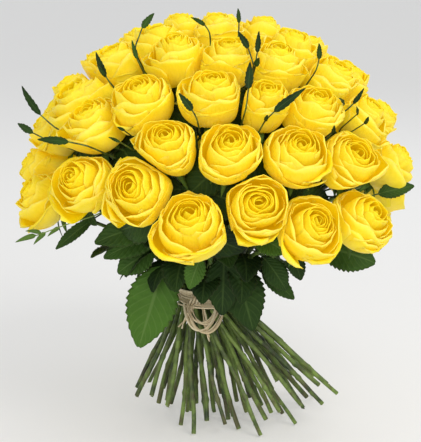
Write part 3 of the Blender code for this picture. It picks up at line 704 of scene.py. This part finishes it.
def growRose(tree, number, head):
    seen = head["seen"]
    columns, rows = rose["grid"] if seen else rose["gridBehind"]
    draw = random.Random(number).uniform
    mesh = grown(pointMesh([(0, 0, 0)]), tree, Petals=rose["petals" if seen else "petalsBehind"],
                 Columns=columns, Rows=rows, Radius=head["width"] / 2 * rose["fullness"],
                 Height=rose["height"], Openness=draw(0.92, 1.06), Heart=draw(0.8, 1.1),
                 Dip=draw(0.0, 0.10), Oval=draw(0.02, 0.09), Heart_Shift=draw(0.0, 0.10), Seed=number,
                 Material=petalFace)
    flat = np.empty(len(mesh.vertices) * 3)
    mesh.vertices.foreach_get("co", flat)
    spin = draw(0.0, fullTurn)
    side = head["side"] * math.cos(spin) + head["over"] * math.sin(spin)
    axes = np.array([tuple(side), tuple(head["axis"].cross(side)), tuple(head["axis"])])
    places = pressed(flat.reshape(-1, 3) @ axes + np.array(head["foot"]), head)
    places = rippled(places, mesh, head, axes)
    mesh.vertices.foreach_set("co", (places * mm).ravel())
    mesh.materials.clear()
    mesh.materials.append(petalBack)
    mesh.materials.append(petalFace)
    mesh.update()
    return addPiece("rose%02d" % number, mesh, ["bloom_%02d" % number], rose["thickness"], 1)


heads = spreadHeads()
for head in heads:
    aimHead(head)
findWalls(heads)
roseTree = petalTree()
for number, head in enumerate(heads, start=1):
    growRose(roseTree, number, head)
print("roses made:", len(heads))


# stems: lines through the tie, given their thickness, thorns and pale cut ends

bundle = {
    "tie": Vector((-24.0, 0.0, 132.0)),
    "stemRadius": 2.15,
    "sides": 9,
    "hip": 4.7,
    "hipLength": 16.0,
    "bend": 0.27,
    # count, radius at the tie, radius at the floor, twist in degrees, highest cut end
    "rings": ((1, 0.0, 0.0, 0.0, 0.0), (6, 5.3, 20.0, 10.0, 4.0), (12, 10.6, 50.0, 16.0, 12.0),
              (17, 15.9, 86.0, 24.0, 24.0), (22, 21.2, 123.0, 32.0, 38.0)),
    "floorRight": 0.098,             # how far a ring lies to the right at the floor, as a share of its radius
    "standsWithin": 80.0,
    "floorFront": 0.53,
    "crooked": 1.1,
    "knot": (1.0, 2.2),              # how much thicker a stem is at a leaf scar, and how long
    "knotSpacing": (30.0, 55.0),
    "thornLength": 3.4,
    "thornSpacing": 13.0,
    "thornShare": 0.5,
}


def leaned(point):
    # the bunch leans to the left up to the tie, and back to the middle of the dome
    tie = bundle["tie"]
    if point.z < tie.z:
        across = lerp(0.0, tie.x, point.z / tie.z)
    else:
        share = min(1.0, (point.z - tie.z) / (dome["centre"].z - tie.z))
        across = lerp(tie.x, dome["centre"].x, share)
    return point + Vector((across, 0.0, 0.0))


def azimuthOf(head):
    return math.atan2(head["foot"].x - dome["centre"].x, -head["foot"].y)


def meanOffset(members):
    offsets = [azimuthOf(head) - fullTurn * k / len(members) for k, head in enumerate(members)]
    return math.atan2(sum(map(math.sin, offsets)), sum(map(math.cos, offsets)))


def routeOf(head, atTie, atFloor, slot, endSlot, hover):
    tie = leaned(turned(atTie, slot, bundle["tie"].z))
    floorPoint = turned(atFloor, endSlot, 0.0)
    floorPoint.y *= bundle["floorFront"]
    floorPoint.x += bundle["floorRight"] * atFloor
    end = lerp(leaned(floorPoint), tie, hover / bundle["tie"].z)
    bend = lerp(tie, head["foot"], 0.55)
    bend += (upward - head["axis"]) * (0.5 * bundle["bend"] * (head["foot"] - tie).length)
    return {"stops": (end, tie, bend, head["foot"]), "stands": hover == 0}


def stemRoutes(heads):
    waiting = sorted(heads, key=lambda head: -head["axis"].z)
    draw = random.Random(7)
    routes = []
    for count, atTie, atFloor, twist, highestEnd in bundle["rings"]:
        members = sorted(waiting[:count], key=azimuthOf)
        waiting = waiting[count:]
        start = meanOffset(members)
        for k, head in enumerate(members):
            slot = start + fullTurn * k / count
            endSlot = slot + math.radians(twist)
            sideways = abs(math.sin(endSlot))
            stands = k % 2 == 0 and atFloor * sideways < bundle["standsWithin"]
            hover = 1.0 + highestEnd * lerp(0.3, 1.0, sideways) * draw.uniform(0.5, 1.0)
            routes.append(routeOf(head, atTie, atFloor, slot, endSlot, 0.0 if stands else hover))
    return routes


def rounded(stops, roundings, step):
    # a line through stops, rounded at the inner ones, with a point every few millimetres
    corners = [stops[0]]
    pieces = []
    for before, here, after, size in zip(stops, stops[1:], stops[2:], roundings):
        first, last = (here + (other - here).normalized() * min(size, (other - here).length * 0.45)
                       for other in (before, after))
        pieces += [(corners[-1], first, None), (first, last, here)]
        corners.append(last)
    pieces.append((corners[-1], stops[-1], None))
    line = [stops[0]]
    for a, b, middle in pieces:
        count = max(2, int((b - a).length / step))
        for k in range(1, count + 1):
            t = k / count
            line.append(lerp(a, b, t) if middle is None else lerp(lerp(a, middle, t), lerp(middle, b, t), t))
    return line


def stemTree():
    maker, given = newTree("stems", Geometry=None, Sides=8, Thorn_Spacing=0.02, Thorn_Length=0.003,
                           Thorn_Share=0.6, Seed=3, Cut_Ends=True, Material=None, End_Material=None)
    curve = maker.add("GeometryNodeMeshToCurve", Mesh=given["Geometry"])
    thick = maker.own("thick")
    ring = maker.add("GeometryNodeCurvePrimitiveCircle", Resolution=given["Sides"], Radius=1.0)
    tubes = maker.add("GeometryNodeCurveToMesh", Curve=curve, Profile_Curve=ring, Scale=thick, Fill_Caps=True)
    # thorns lie against the stem and point a little down, and there are none near the floor
    marks = maker.add("GeometryNodeResampleCurve", {"mode": "LENGTH"}, Curve=curve,
                      Length=given["Thorn Spacing"])
    number = maker.add("GeometryNodeInputIndex")
    chance = maker.chance(0.0, 1.0, number, given["Seed"])
    whirl = maker.chance((-1.0, -1.0, -1.0), (1.0, 1.0, 1.0), number, given["Seed"] + 1, "FLOAT_VECTOR")
    tangent = maker.add("GeometryNodeInputTangent")
    way = maker.vector("NORMALIZE", maker.vector("CROSS_PRODUCT", tangent, whirl))
    way = maker.vector("SUBTRACT", way, maker.scaled(tangent, 0.45))
    turn = maker.add("FunctionNodeAlignRotationToVector", {"axis": "Z"}, Vector=way)
    thorn = maker.add("GeometryNodeMeshCone", {"fill_type": "TRIANGLE_FAN"}, Vertices=5, Side_Segments=1,
                      Fill_Segments=1, Radius_Bottom=given["Thorn Length"] * 0.45,
                      Depth=given["Thorn Length"])
    height = maker.split(maker.add("GeometryNodeInputPosition"))["Z"]
    nearFloor = 2.0 * (1.0 - height.smooth(0.008, 0.012))
    grows = maker.add("FunctionNodeCompare", {"data_type": "FLOAT", "operation": "LESS_THAN"},
                      A=chance + nearFloor, B=given["Thorn Share"])
    thorns = maker.add("GeometryNodeInstanceOnPoints", Points=marks, Instance=thorn, Rotation=turn,
                       Selection=grows)
    thorns = maker.add("GeometryNodeSetPosition", Geometry=thorns,
                       Offset=maker.scaled(maker.vector("NORMALIZE", way), thick * 0.75))
    # a pale disc shows at each cut end
    start = maker.add("GeometryNodeCurveEndpointSelection", Start_Size=1, End_Size=0)
    disc = maker.add("GeometryNodeMeshCylinder", {"fill_type": "TRIANGLE_FAN"}, Vertices=9, Side_Segments=1,
                     Fill_Segments=1, Radius=0.86, Depth=0.0006)
    level = maker.add("FunctionNodeAlignRotationToVector", {"axis": "Z"}, Vector=tangent)
    discs = maker.add("GeometryNodeInstanceOnPoints", Points=curve, Instance=disc, Rotation=level,
                      Selection=start * given["Cut Ends"], Scale=maker.joined(thick, thick, 1.0))
    skin = maker.add("GeometryNodeJoinGeometry", Geometry=[tubes, thorns])
    skin = maker.plain(maker.add("GeometryNodeSetShadeSmooth", Geometry=skin), given["Material"])
    discs = maker.plain(discs, given["End Material"])
    maker.add("NodeGroupOutput", Geometry=maker.add("GeometryNodeJoinGeometry", Geometry=[skin, discs]))
    return maker.tree


def stemLine(route, draw):
    end, tie, bend, foot = route["stops"]
    if route["stands"]:
        # a square cut stands on its lowest edge
        way = (tie - end).normalized()
        end = end + way * (bundle["stemRadius"] * 1.3 * math.sqrt(1.0 - way.z ** 2) / way.z + 0.7)
    line = rounded([end, tie, bend, foot], (9.0, 45.0), 4.0)
    # below the tie a stem is a little crooked
    phase = draw.uniform(0.0, 6.0)
    for point in line:
        loose = min(1.0, max(0.0, (bundle["tie"].z - 22.0 - point.z) / 20.0)) * bundle["crooked"]
        point.x += loose * math.sin(point.z / 15.0 + phase)
        point.y += loose * math.sin(point.z / 11.0 + 2.0 * phase)
    own = bundle["stemRadius"] * draw.uniform(0.88, 1.12)
    knot = draw.uniform(20.0, 50.0)
    thicker, longer = bundle["knot"]
    length = sum((b - a).length for a, b in zip(line, line[1:]))
    gone = 0.0
    widths = []
    for k, point in enumerate(line):
        gone += (point - line[k - 1]).length if k else 0.0
        width = own * lerp(1.04, 0.92, gone / length) + thicker * math.exp(-((gone - knot) / longer) ** 2)
        if gone > knot + 6.0:
            knot += draw.uniform(*bundle["knotSpacing"])
        left = (length - gone) / bundle["hipLength"]
        if left < 1.0:
            width = lerp(bundle["hip"], width, max(left, 0.0) ** 0.7)
        widths.append(width * mm)
    return line, draw.random(), {"thick": widths}


routes = stemRoutes(heads)
stemDraw = random.Random(21)
stemGrower = stemTree()
stemMesh = grown(lineMesh([stemLine(route, stemDraw) for route in routes]), stemGrower, Sides=bundle["sides"],
                 Thorn_Spacing=bundle["thornSpacing"] * mm, Thorn_Length=bundle["thornLength"] * mm,
                 Thorn_Share=bundle["thornShare"], Seed=5, Cut_Ends=True, Material=stemSkin,
                 End_Material=cutEnd)
addPiece("stems", stemMesh, ["stems_and_leaves"])
print("stems made:", len(routes))


# leaves: each point carries a blade, which its own attributes bend from base over crest to tip

foliage = {
    "thickness": 0.5,
    "stalkRadius": 0.85,
    "stalkRise": 24.0,               # the lowest stalks grow this far above the tie
    "clearance": 4.2,
    # base and tip (pixel across, pixel down, depth), width, sag, brightness
    "large": (
        ((164, 266, -36), (139, 347, -50), 55, 3, 0.9),
        ((234, 262, -36), (253, 330, -48), 46, 3, 0.25),
        ((224, 256, -42), (222, 314, -50), 38, 3, 0.15),
        ((156, 224, -74), (95, 243, -84), 34, 8, 0.35),
        ((158, 236, -62), (104, 258, -66), 28, 8, 0.45),
        ((322, 247, -62), (375, 263, -66), 42, 6, 0.45),
        ((92, 220, -66), (56, 249, -70), 14, 3, 0.3),
        ((262, 272, -34), (294, 299, -28), 20, 3, 0.4),
        ((291, 252, -56), (301, 280, -58), 20, 2, 0.1),
        ((201, 256, -46), (190, 286, -50), 22, 3, 0.8),
        ((154, 250, -48), (118, 273, -50), 32, 5, 0.5),
        ((378, 194, -40), (414, 186, -38), 18, 2, 0.35),
        ((254, 236, -78), (284, 252, -84), 28, 4, 0.75),
        ((264, 258, -52), (286, 290, -50), 26, 4, 0.2),
    ),
    "largeFrom": 24,                 # a leaf at least this wide has more teeth
    # first and last azimuth, count, height of base and tip, reach of base and tip, width
    "collars": ((66, 294, 7, 196, 206, 62, 128, 40), (90, 270, 5, 168, 150, 40, 88, 36)),
    # foot and tip in pixels, width, rise of the tip
    "slender": (
        (60, 113, 22, 86, 8, 6), (44, 139, 18, 123, 8, 6), (68, 158, 38, 139, 9, 8),
        (104, 82, 96, 52, 7, 13), (148, 58, 132, 40, 5, 7), (160, 32, 154, 13, 8, 8),
        (190, 34, 191, 17, 5, 10), (238, 26, 238, 8, 5, 8), (239, 50, 238, 31, 7, 10),
        (244, 48, 259, 31, 6, 10), (318, 60, 319, 43, 6, 8), (282, 118, 305, 88, 9, 11),
        (244, 86, 250, 62, 9, 8), (178, 114, 179, 93, 8, 12), (346, 100, 364, 88, 5, 8),
    ),
    "slenderStart": 0.30,            # where the blade starts at the earliest on the way from foot to tip
    "slenderLength": 0.72,           # of the blade, as a share of the way from foot to tip in the picture
    # small leaves between the roses: foot and tip in pixels, width, rise of the tip
    "bits": (
        (104, 78, 91, 60, 4, 9), (268, 82, 273, 70, 6, 3), (338, 128, 341, 116, 4, 5),
        (371, 110, 371, 98, 3, 5), (374, 124, 380, 114, 4, 5), (352, 100, 345, 90, 3, 7),
        (120, 146, 104, 139, 3, 6), (150, 122, 140, 117, 3, 4), (262, 130, 266, 122, 4, 3),
    ),
    # a pale sprig at the side: its stalk, and base and tip of its leaflets, in pixels, with their width
    "sprigDepth": -80.0,
    "sprigStalk": ((100, 214), (68, 224), (46, 232), (32, 237)),
    "sprigLeaflets": ((46, 232, 34, 244, 4.5), (37, 235, 16, 242, 5.0), (42, 233, 26, 231, 4.0),
                      (60, 227, 48, 236, 4.0)),
    # leaves under the roses: count, height and reach of base and tip, width
    "under": ((13, 212, 188, 50, 86, 36), (12, 188, 162, 36, 66, 34), (10, 238, 226, 62, 118, 40)),
    # leaves inside the dome: count, size of their dome, length, width
    "inner": (84, 0.70, 56.0, 38.0),
}

sepal = {
    "count": 5,
    "foot": (3.2, 0.5),              # out from the rose's axis and up along it
    "crest": ((12.0, 15.0), (0.0, 4.0)),
    "tip": ((17.0, 24.0), (4.0, 16.0)),
    "width": (6.0, 8.5),
    "tone": (0.2, 0.9),
}

# columns, teeth, depth of a tooth, fold along the midrib, ripple, waist
bladeKinds = {
    "large": (7, 12, 0.13, 0.16, 1.1, 0.8),
    "collar": (7, 9, 0.15, 0.2, 0.8, 0.8),
    "slender": (5, 6, 0.22, 0.35, 0.9, 0.7),
    "inner": (5, 7, 0.14, 0.18, 1.0, 0.8),
    "sepal": (3, 2, 0.0, 0.25, 0.0, 0.55),
}


def bladeTree():
    maker, given = newTree("leaf blades", Geometry=None, Columns=7, Teeth=11, Tooth_Depth=0.14, Fold=0.2,
                           Ripple=0.6, Waist=0.8, Material=None)
    teeth = given["Teeth"]
    rows = teeth * 4 + 1
    blades = maker.sheets(given["Geometry"], given["Columns"], rows)
    s = maker.own("across")
    t = maker.own("along")
    tone = maker.own("tone")
    base, crest, tip, widthWay, faceWay = (
        maker.own(name, "FLOAT_VECTOR") for name in ("base", "crest", "tip", "widthWay", "faceWay"))
    side = abs(s)
    # four rows for each tooth: notch, slope, slope, point
    phase = (t * teeth + 0.001).sums("FRACT", t * teeth + 0.001)
    jag = 1.0 - given["Tooth Depth"] * (1.0 - phase) * side.smooth(0.5, 1.0)
    outline = 0.03 + 0.97 * (t ** given["Waist"] * math.pi * 0.985 + 0.03).sin() ** 0.8
    reach = maker.own("wide") * 0.5 * outline
    wave = (9.0 * t + tone * 20.0 + s * 1.5).sin() + 0.35 * sideVeins(t, side)
    lift = given["Fold"] * side * reach + given["Ripple"] * wave * side * outline * mm
    sweep = t + (0.35 / rows) * side ** 3.0
    one = 1.0 - sweep
    spot = maker.total((base, one * one), (crest, 2.0 * sweep * one), (tip, sweep * sweep),
                       (widthWay, s * reach * jag), (faceWay, lift))
    blades = maker.add("GeometryNodeSetPosition", Geometry=blades, Position=spot)
    return maker.finish(blades, given["Material"])


def freePlace(heads, place):
    # move sideways into the gap between the roses
    for _ in range(30):
        push = Vector()
        for head in heads:
            way = place - head["rim"]
            short = head["width"] / 2 + dome["neighbourGap"] / 2 - way.length
            if short > 0:
                push += way.normalized() * short
        push -= outwardAt(place) * push.dot(outwardAt(place))
        if push.length < 0.2:
            break
        place = place + push * 0.3
    return place


def footOf(leaf):
    foot = seenOnDome(leaf[0], leaf[1])
    return freePlace(heads, foot - outwardAt(foot) * rose["rimDepth"])


def nearestOnLine(point, a, b, most=1.0):
    way = b - a
    return a + way * min(most, max(0.0, (point - a).dot(way) / way.length_squared))


def nearestOnStems(point, lowest=0.0):
    # a stalk grows from the nearest stem above the tie, but not from the swollen hip
    places = [nearestOnLine(point, a, b, 0.96) for route in routes
              for a, b in zip(route["stops"][1:], route["stops"][2:])]
    return min((place for place in places if place.z >= lowest), key=lambda place: (place - point).length)


def distanceToStems(point):
    return min((nearestOnLine(point, a, b) - point).length for route in routes
               for a, b in zip(route["stops"], route["stops"][1:]))


def bladeWays(base, tip, facing):
    across = (tip - base).cross(facing).normalized()
    return across, across.cross(tip - base).normalized()


def clearLeaf(base, tip, width, sag, facing, way):
    # move a leaf until its blade is clear of the stems
    across, face = bladeWays(base, tip, facing)
    for _ in range(40):
        spots = []
        for t in (0.0, 0.25, 0.5, 0.75, 1.0):
            middle = lerp(base, tip, t) + face * (4.0 * sag * t * (1.0 - t))
            reach = width / 2 * math.sin(math.pi * min(0.97, t + 0.03))
            spots += [middle + across * (reach * side) for side in (-1.0, -0.5, 0.0, 0.5, 1.0)]
        if min(map(distanceToStems, spots)) > foliage["clearance"]:
            break
        base = base + way * 2.0
        tip = tip + way * 2.0
    return base, tip


blades = {group: [] for group in bladeKinds}
stalks = []


def addBlade(group, base, crest, tip, width, facing, tone):
    blades[group].append((base, crest, tip, *bladeWays(base, tip, facing), width, tone))


def addStalk(stops, radius, roundings, tone):
    line = rounded(stops, roundings, 5.0)
    last = len(line) - 1
    stalks.append((line, tone, {"thick": [radius * lerp(1.25, 0.8, k / last) * mm for k in range(last + 1)]}))


def addLeaf(group, base, tip, width, sag, facing, way, tone):
    base, tip = clearLeaf(base, tip, width, sag, facing, way)
    anchor = nearestOnStems(base - (tip - base) * 0.25, bundle["tie"].z + foliage["stalkRise"])
    crest = lerp(base, tip, 0.5) + bladeWays(base, tip, facing)[1] * (2.0 * sag)
    addBlade(group, base, crest, tip, width, facing, tone)
    back = base - (crest - base).normalized() * min(12.0, (anchor - base).length * 0.5)
    addStalk([anchor, back, lerp(base, crest, 0.12)], foliage["stalkRadius"], (8.0,), tone)


leafDraw = random.Random(11)
draw = leafDraw.uniform
for base, tip, width, sag, tone in foliage["large"]:
    addLeaf("large" if width >= foliage["largeFrom"] else "collar", atDepth(*base), atDepth(*tip), width, sag,
            upward * 0.3 - viewAxis, -viewAxis, tone)
for first, last, count, baseZ, tipZ, baseReach, tipReach, width in foliage["collars"]:
    for k in range(count):
        azimuth = math.radians(lerp(first, last, k / (count - 1)))
        swing = math.radians(9.0) * math.sin(k * 2.4)
        base = leaned(turned(baseReach, azimuth, baseZ + 6.0 * math.sin(k * 1.7)))
        tip = leaned(turned(tipReach, azimuth + swing, tipZ + 8.0 * math.sin(k * 2.9)))
        addLeaf("large", base, tip, width, 8.0, upward + turned(0.7, azimuth, 0.0),
                turned(0.6, azimuth, -0.8), draw(0.1, 0.7))
for leaf in foliage["slender"]:
    foot = footOf(leaf)
    out = outwardAt(foot)
    tip = lerp(seenOnDome(leaf[2], leaf[3], leaf[5]), atDepth(leaf[2], leaf[3], foot.y), 0.5) - upward * 0.4
    deep = foot - out * (rose["height"] - rose["rimDepth"] + 14.0)
    anchor = nearestOnStems(deep - out * 12.0)
    crest = foot + out * ((tip - foot).length * 0.4)
    length = foliage["slenderLength"] * math.dist(leaf[2:4], leaf[0:2])
    start = max(foliage["slenderStart"], 1.0 - length / (tip - foot).length)
    base = lerp(lerp(foot, crest, start), lerp(crest, tip, start), start)
    addBlade("slender", base, lerp(crest, tip, start), tip, leaf[4] * 0.95, -viewAxis, draw(0.1, 0.4))
    addStalk([anchor, deep, lerp(foot, crest, start * 0.6), base], foliage["stalkRadius"], (10.0, 6.0), 0.2)

# sepals under each rose, bent back
for head in heads:
    for k in range(sepal["count"]):
        angle = fullTurn * (k + draw(-0.12, 0.12)) / sepal["count"]
        out = head["side"] * math.cos(angle) + head["over"] * math.sin(angle)
        base = head["foot"] + out * sepal["foot"][0] + head["axis"] * sepal["foot"][1]
        crest = head["foot"] + out * draw(*sepal["crest"][0]) + head["axis"] * draw(*sepal["crest"][1])
        tip = head["foot"] + out * draw(*sepal["tip"][0]) - head["axis"] * draw(*sepal["tip"][1])
        addBlade("sepal", base, crest, tip, draw(*sepal["width"]), -head["axis"], draw(*sepal["tone"]))

for leaf in foliage["bits"]:
    foot = footOf(leaf)
    out = outwardAt(foot)
    tip = foot + seenOnDome(leaf[2], leaf[3], leaf[5]) - seenOnDome(leaf[0], leaf[1], -rose["rimDepth"])
    deep = foot - out * 22.0
    addBlade("slender", lerp(foot, tip, 0.3), lerp(foot, tip, 0.6) + out * 2.0, tip, leaf[4], -viewAxis,
             draw(0.1, 0.4))
    addStalk([nearestOnStems(deep - out * 15.0), deep, lerp(foot, tip, 0.35)], 0.7, (8.0,), 0.1)

depth = foliage["sprigDepth"]
sprigLine = [atDepth(*place, depth) for place in foliage["sprigStalk"]]
addStalk([nearestOnStems(sprigLine[0])] + sprigLine, 0.6, (8.0, 8.0, 8.0), 1.3)
for leaf in foliage["sprigLeaflets"]:
    base = atDepth(*leaf[0:2], depth)
    tip = atDepth(*leaf[2:4], depth)
    addBlade("sepal", base, lerp(base, tip, 0.5) + upward * 1.5, tip, leaf[4], -viewAxis, 1.0)

# dark leaves hang under the roses round the bunch
for count, baseZ, tipZ, baseReach, tipReach, width in foliage["under"]:
    for k in range(count):
        azimuth = fullTurn * (k + draw(-0.2, 0.2)) / count
        swing = draw(-0.25, 0.25)
        base = leaned(turned(baseReach, azimuth, baseZ + draw(-6.0, 6.0)))
        tip = leaned(turned(tipReach, azimuth + swing, tipZ + draw(-8.0, 8.0)))
        addLeaf("inner", base, tip, width, 6.0, upward + turned(0.9, azimuth, 0.0),
                turned(0.6, azimuth, -0.8), draw(0.0, 0.3))

# dark leaves fill the inside of the dome, behind and below the roses
count, share, length, width = foliage["inner"]
for k in range(count):
    height = math.asin(lerp(-0.12, 0.92, (k + 0.5) / count))
    way = turned(math.cos(height), k * goldenTurn, math.sin(height))
    middle = dome["centre"] + way * domeAxes(way.y) * share
    out = outwardAt(middle)
    along = out.cross(upward).normalized() * leafDraw.choice((-1.0, 1.0)) - upward * draw(0.0, 1.2)
    along = (along - out * along.dot(out)).normalized()
    base = middle - along * (length * 0.5)
    tip = middle + along * (length * 0.5) - out * draw(0.0, 12.0)
    addBlade("inner", base, middle + out * 9.0, tip, width, out, draw(0.0, 0.25))
    addStalk([nearestOnStems(base - out * 20.0), base - along * 8.0 - out * 6.0, base],
             foliage["stalkRadius"], (8.0,), 0.2)

bladeGrower = bladeTree()
for group, kind in bladeKinds.items():
    base, crest, tip, widthWay, faceWay, wide, tone = zip(*blades[group])
    values = {"base": base, "crest": crest, "tip": tip}
    values = {name: [place * mm for place in row] for name, row in values.items()}
    values.update(widthWay=widthWay, faceWay=faceWay, wide=[width * mm for width in wide], tone=tone)
    titles = ("Columns", "Teeth", "Tooth_Depth", "Fold", "Ripple", "Waist")
    isSepal = group == "sepal"
    mesh = grown(pointMesh([(0, 0, 0)] * len(base), values), bladeGrower, **dict(zip(titles, kind)),
                 Material=sepalGreen if isSepal else leafGreen)
    if not isSepal:
        mesh.materials.append(leafUnder)
    addPiece("sepals" if isSepal else group + "Leaves", mesh, ["stems_and_leaves"],
             foliage["thickness"], 0 if isSepal else 1)
stalkMesh = grown(lineMesh(stalks), stemGrower, Sides=6, Thorn_Spacing=0.05, Thorn_Length=0.001,
                  Thorn_Share=0.0, Seed=9, Cut_Ends=False, Material=stemSkin, End_Material=cutEnd)
addPiece("leafStalks", stalkMesh, ["stems_and_leaves"])
print("leaves made:", sum(len(group) for group in blades.values()))


# raffia: flat strands along lines, wound round the stems and tied in front

raffia = {
    "height": 15.0,
    "waist": 25.1,
    "flare": 7.6,
    "wall": 2.2,
    "strandWidth": 1.9,
    "strandThickness": 0.5,
    "turns": 26,
    "levels": 9,                     # turns side by side in one layer
    "layer": 0.75,
    "standsOff": 0.72,
    # start, width, drop, rise across
    "loops": ((-12.0, 32.0, 24.0, 4.0), (-9.0, 35.0, 30.0, 6.0), (-7.0, 28.0, 20.0, 3.0)),
    "tails": ((-14.0, 24.0), (15.0, 31.0)),      # way across and drop
    "strands": 3,                    # in each loop and tail
    "knotTurns": 5,
}


def strandTree():
    maker, given = newTree("raffia strands", Geometry=None, Width=0.002, Thickness=0.0005, Material=None)
    curve = maker.add("GeometryNodeMeshToCurve", Mesh=given["Geometry"])
    curve = maker.add("GeometryNodeSetCurveNormal", {"mode": "Z_UP"}, Curve=curve)
    curve = maker.add("GeometryNodeSetCurveTilt", Curve=curve, Tilt=maker.own("roll"))
    profile = maker.add("GeometryNodeCurvePrimitiveQuadrilateral", {"mode": "RECTANGLE"},
                        Width=given["Thickness"], Height=given["Width"])
    strands = maker.add("GeometryNodeCurveToMesh", Curve=curve, Profile_Curve=profile,
                        Scale=maker.own("thick"), Fill_Caps=True)
    return maker.finish(strands, given["Material"])


def strand(line, tone, twist):
    shares = [k / (len(line) - 1) for k in range(len(line))]
    return line, tone, {"thick": [1.0 - 0.25 * math.sin(7.0 * t + 9.0 * tone) for t in shares],
                        "roll": [twist * math.sin(fullTurn * t + 5.0 * tone) for t in shares]}


def bandPoint(k, level, slope, angle):
    half = raffia["height"] / 2
    height = min(half, max(-half, level + slope * math.sin(angle + k)))
    layer = 0.3 + raffia["layer"] * (k // raffia["levels"]) + 0.25 * math.sin(3 * angle + k)
    radius = raffia["waist"] + raffia["flare"] * (height / half) ** 2 + layer
    return leaned(turned(radius, angle, bundle["tie"].z + height))


def bandLines(draw):
    lines = []
    edge = raffia["height"] / 2 - 1.0
    for k in range(raffia["turns"]):
        level = lerp(-edge, edge, (k % raffia["levels"]) / (raffia["levels"] - 1))
        slope = draw.uniform(-2.6, 2.6)
        start = draw.uniform(0.0, fullTurn)
        # a turn is a little more than full, so that its ends lie over each other
        line = [bandPoint(k, level, slope, start + fullTurn * step / 40) for step in range(43)]
        lines.append(strand(line, draw.random(), 0.25))
    return lines


def bowLines(draw):
    front = leaned(turned(raffia["waist"] + raffia["wall"] + 1.5, math.radians(-20.0), bundle["tie"].z - 4.0))
    hang = Vector((0.0, -raffia["standsOff"], -1.0))
    lines = []
    for start, width, drop, tilt in raffia["loops"]:
        for layer in range(raffia["strands"]):
            first = start + draw.uniform(-2.2, 2.2)
            deep = drop * draw.uniform(0.86, 1.04)
            line = []
            for t in (k / 24 for k in range(25)):
                across = first + width * 0.5 * (1.0 - math.cos(math.pi * t))
                line.append(front + Vector((across, -1.0 - 0.5 * layer, tilt * t))
                            + hang * (deep * math.sin(math.pi * t)))
            lines.append(strand(line, draw.random(), 1.2))
    for across, drop in raffia["tails"]:
        for layer in range(raffia["strands"]):
            swing = draw.uniform(-3.0, 3.0)
            deep = drop * draw.uniform(0.85, 1.05)
            line = []
            for t in (k / 12 for k in range(13)):
                x = across * (0.2 + 0.8 * t) + swing * t * t + 2.0 * math.sin(4.0 * t + layer)
                line.append(front + Vector((x, 0.5 - layer * 0.7, 0.0)) + hang * (deep * t))
            lines.append(strand(line, draw.random(), 1.0))
    for k in range(raffia["knotTurns"]):
        line = []
        for angle in (math.pi * step / 12 for step in range(13)):
            x = -6.0 + 3.2 * k + 1.5 * math.sin(angle * 2)
            line.append(front + Vector((x, 1.0 - 4.5 * math.sin(angle), 6.0 * math.cos(angle) + 3.0)))
        lines.append(strand(line, draw.random(), 0.3))
    return lines


raffiaDraw = random.Random(4)
raffiaMesh = grown(lineMesh(bandLines(raffiaDraw) + bowLines(raffiaDraw)), strandTree(),
                   Width=raffia["strandWidth"] * mm, Thickness=raffia["strandThickness"] * mm,
                   Material=raffiaStraw)
addPiece("raffia", raffiaMesh, ["raffia_tie"])
print("raffia made")


# floor, light and camera

studio = {
    "floorSize": 14.0,
    "floor": ((0.56, 0.55, 0.54), (0.54, 0.55, 0.56)),
    "floorGlow": 0.30,
    "air": (0.94, 0.97, 1.0, 1.0),
    "airStrength": 0.64,
    "lampAim": Vector((0.0, 0.0, 0.22)),
    # place, size, power, colour
    "lamps": (
        ((0.8, -1.1, 1.5), 1.0, 17.0, (1.0, 0.98, 0.95)),
        ((-0.6, -1.8, 0.8), 1.4, 10.0, (1.0, 0.99, 0.97)),
        ((0.3, 1.2, 1.3), 0.9, 5.0, (0.97, 0.99, 1.0)),
    ),
    "sensor": 36.0,
}


def makeStage():
    bpy.ops.mesh.primitive_plane_add(size=studio["floorSize"], location=(0.0, 0.0, -0.0005))
    floor = bpy.context.object
    floor.name = "floor"
    maker, place, feed = newMaterial("pale floor", 0.7, Emission_Color=(1.0, 0.985, 0.96, 1.0),
                                     Emission_Strength=studio["floorGlow"])
    grain = maker.noise(place, 3.0, 2.0)
    floor.data.materials.append(feed(Base_Color=(grain * 0.3).mix(*studio["floor"])))
    world = bpy.data.worlds.new("pale air")
    world.use_nodes = True
    world.node_tree.nodes["Background"].inputs["Color"].default_value = studio["air"]
    world.node_tree.nodes["Background"].inputs["Strength"].default_value = studio["airStrength"]
    bpy.context.scene.world = world
    for place, size, power, colour in studio["lamps"]:
        data = bpy.data.lights.new("soft lamp", "AREA")
        data.size = size
        data.energy = power
        data.color = colour
        lamp = placed("soft lamp", data)
        lamp.location = place
        lamp.rotation_euler = (Vector(place) - studio["lampAim"]).to_track_quat("Z", "Y").to_euler()


def makeCamera():
    data = bpy.data.cameras.new("camera")
    data.sensor_width = studio["sensor"]
    data.lens = studio["sensor"] * picture["distance"] / picture["longSide"]
    camera = placed("camera", data)
    camera.location = eye * mm
    camera.rotation_euler = (-viewAxis).to_track_quat("Z", "Y").to_euler()
    bpy.context.scene.camera = camera


makeStage()
makeCamera()
bpy.context.scene.view_settings.view_transform = "Standard"
print("stage made")
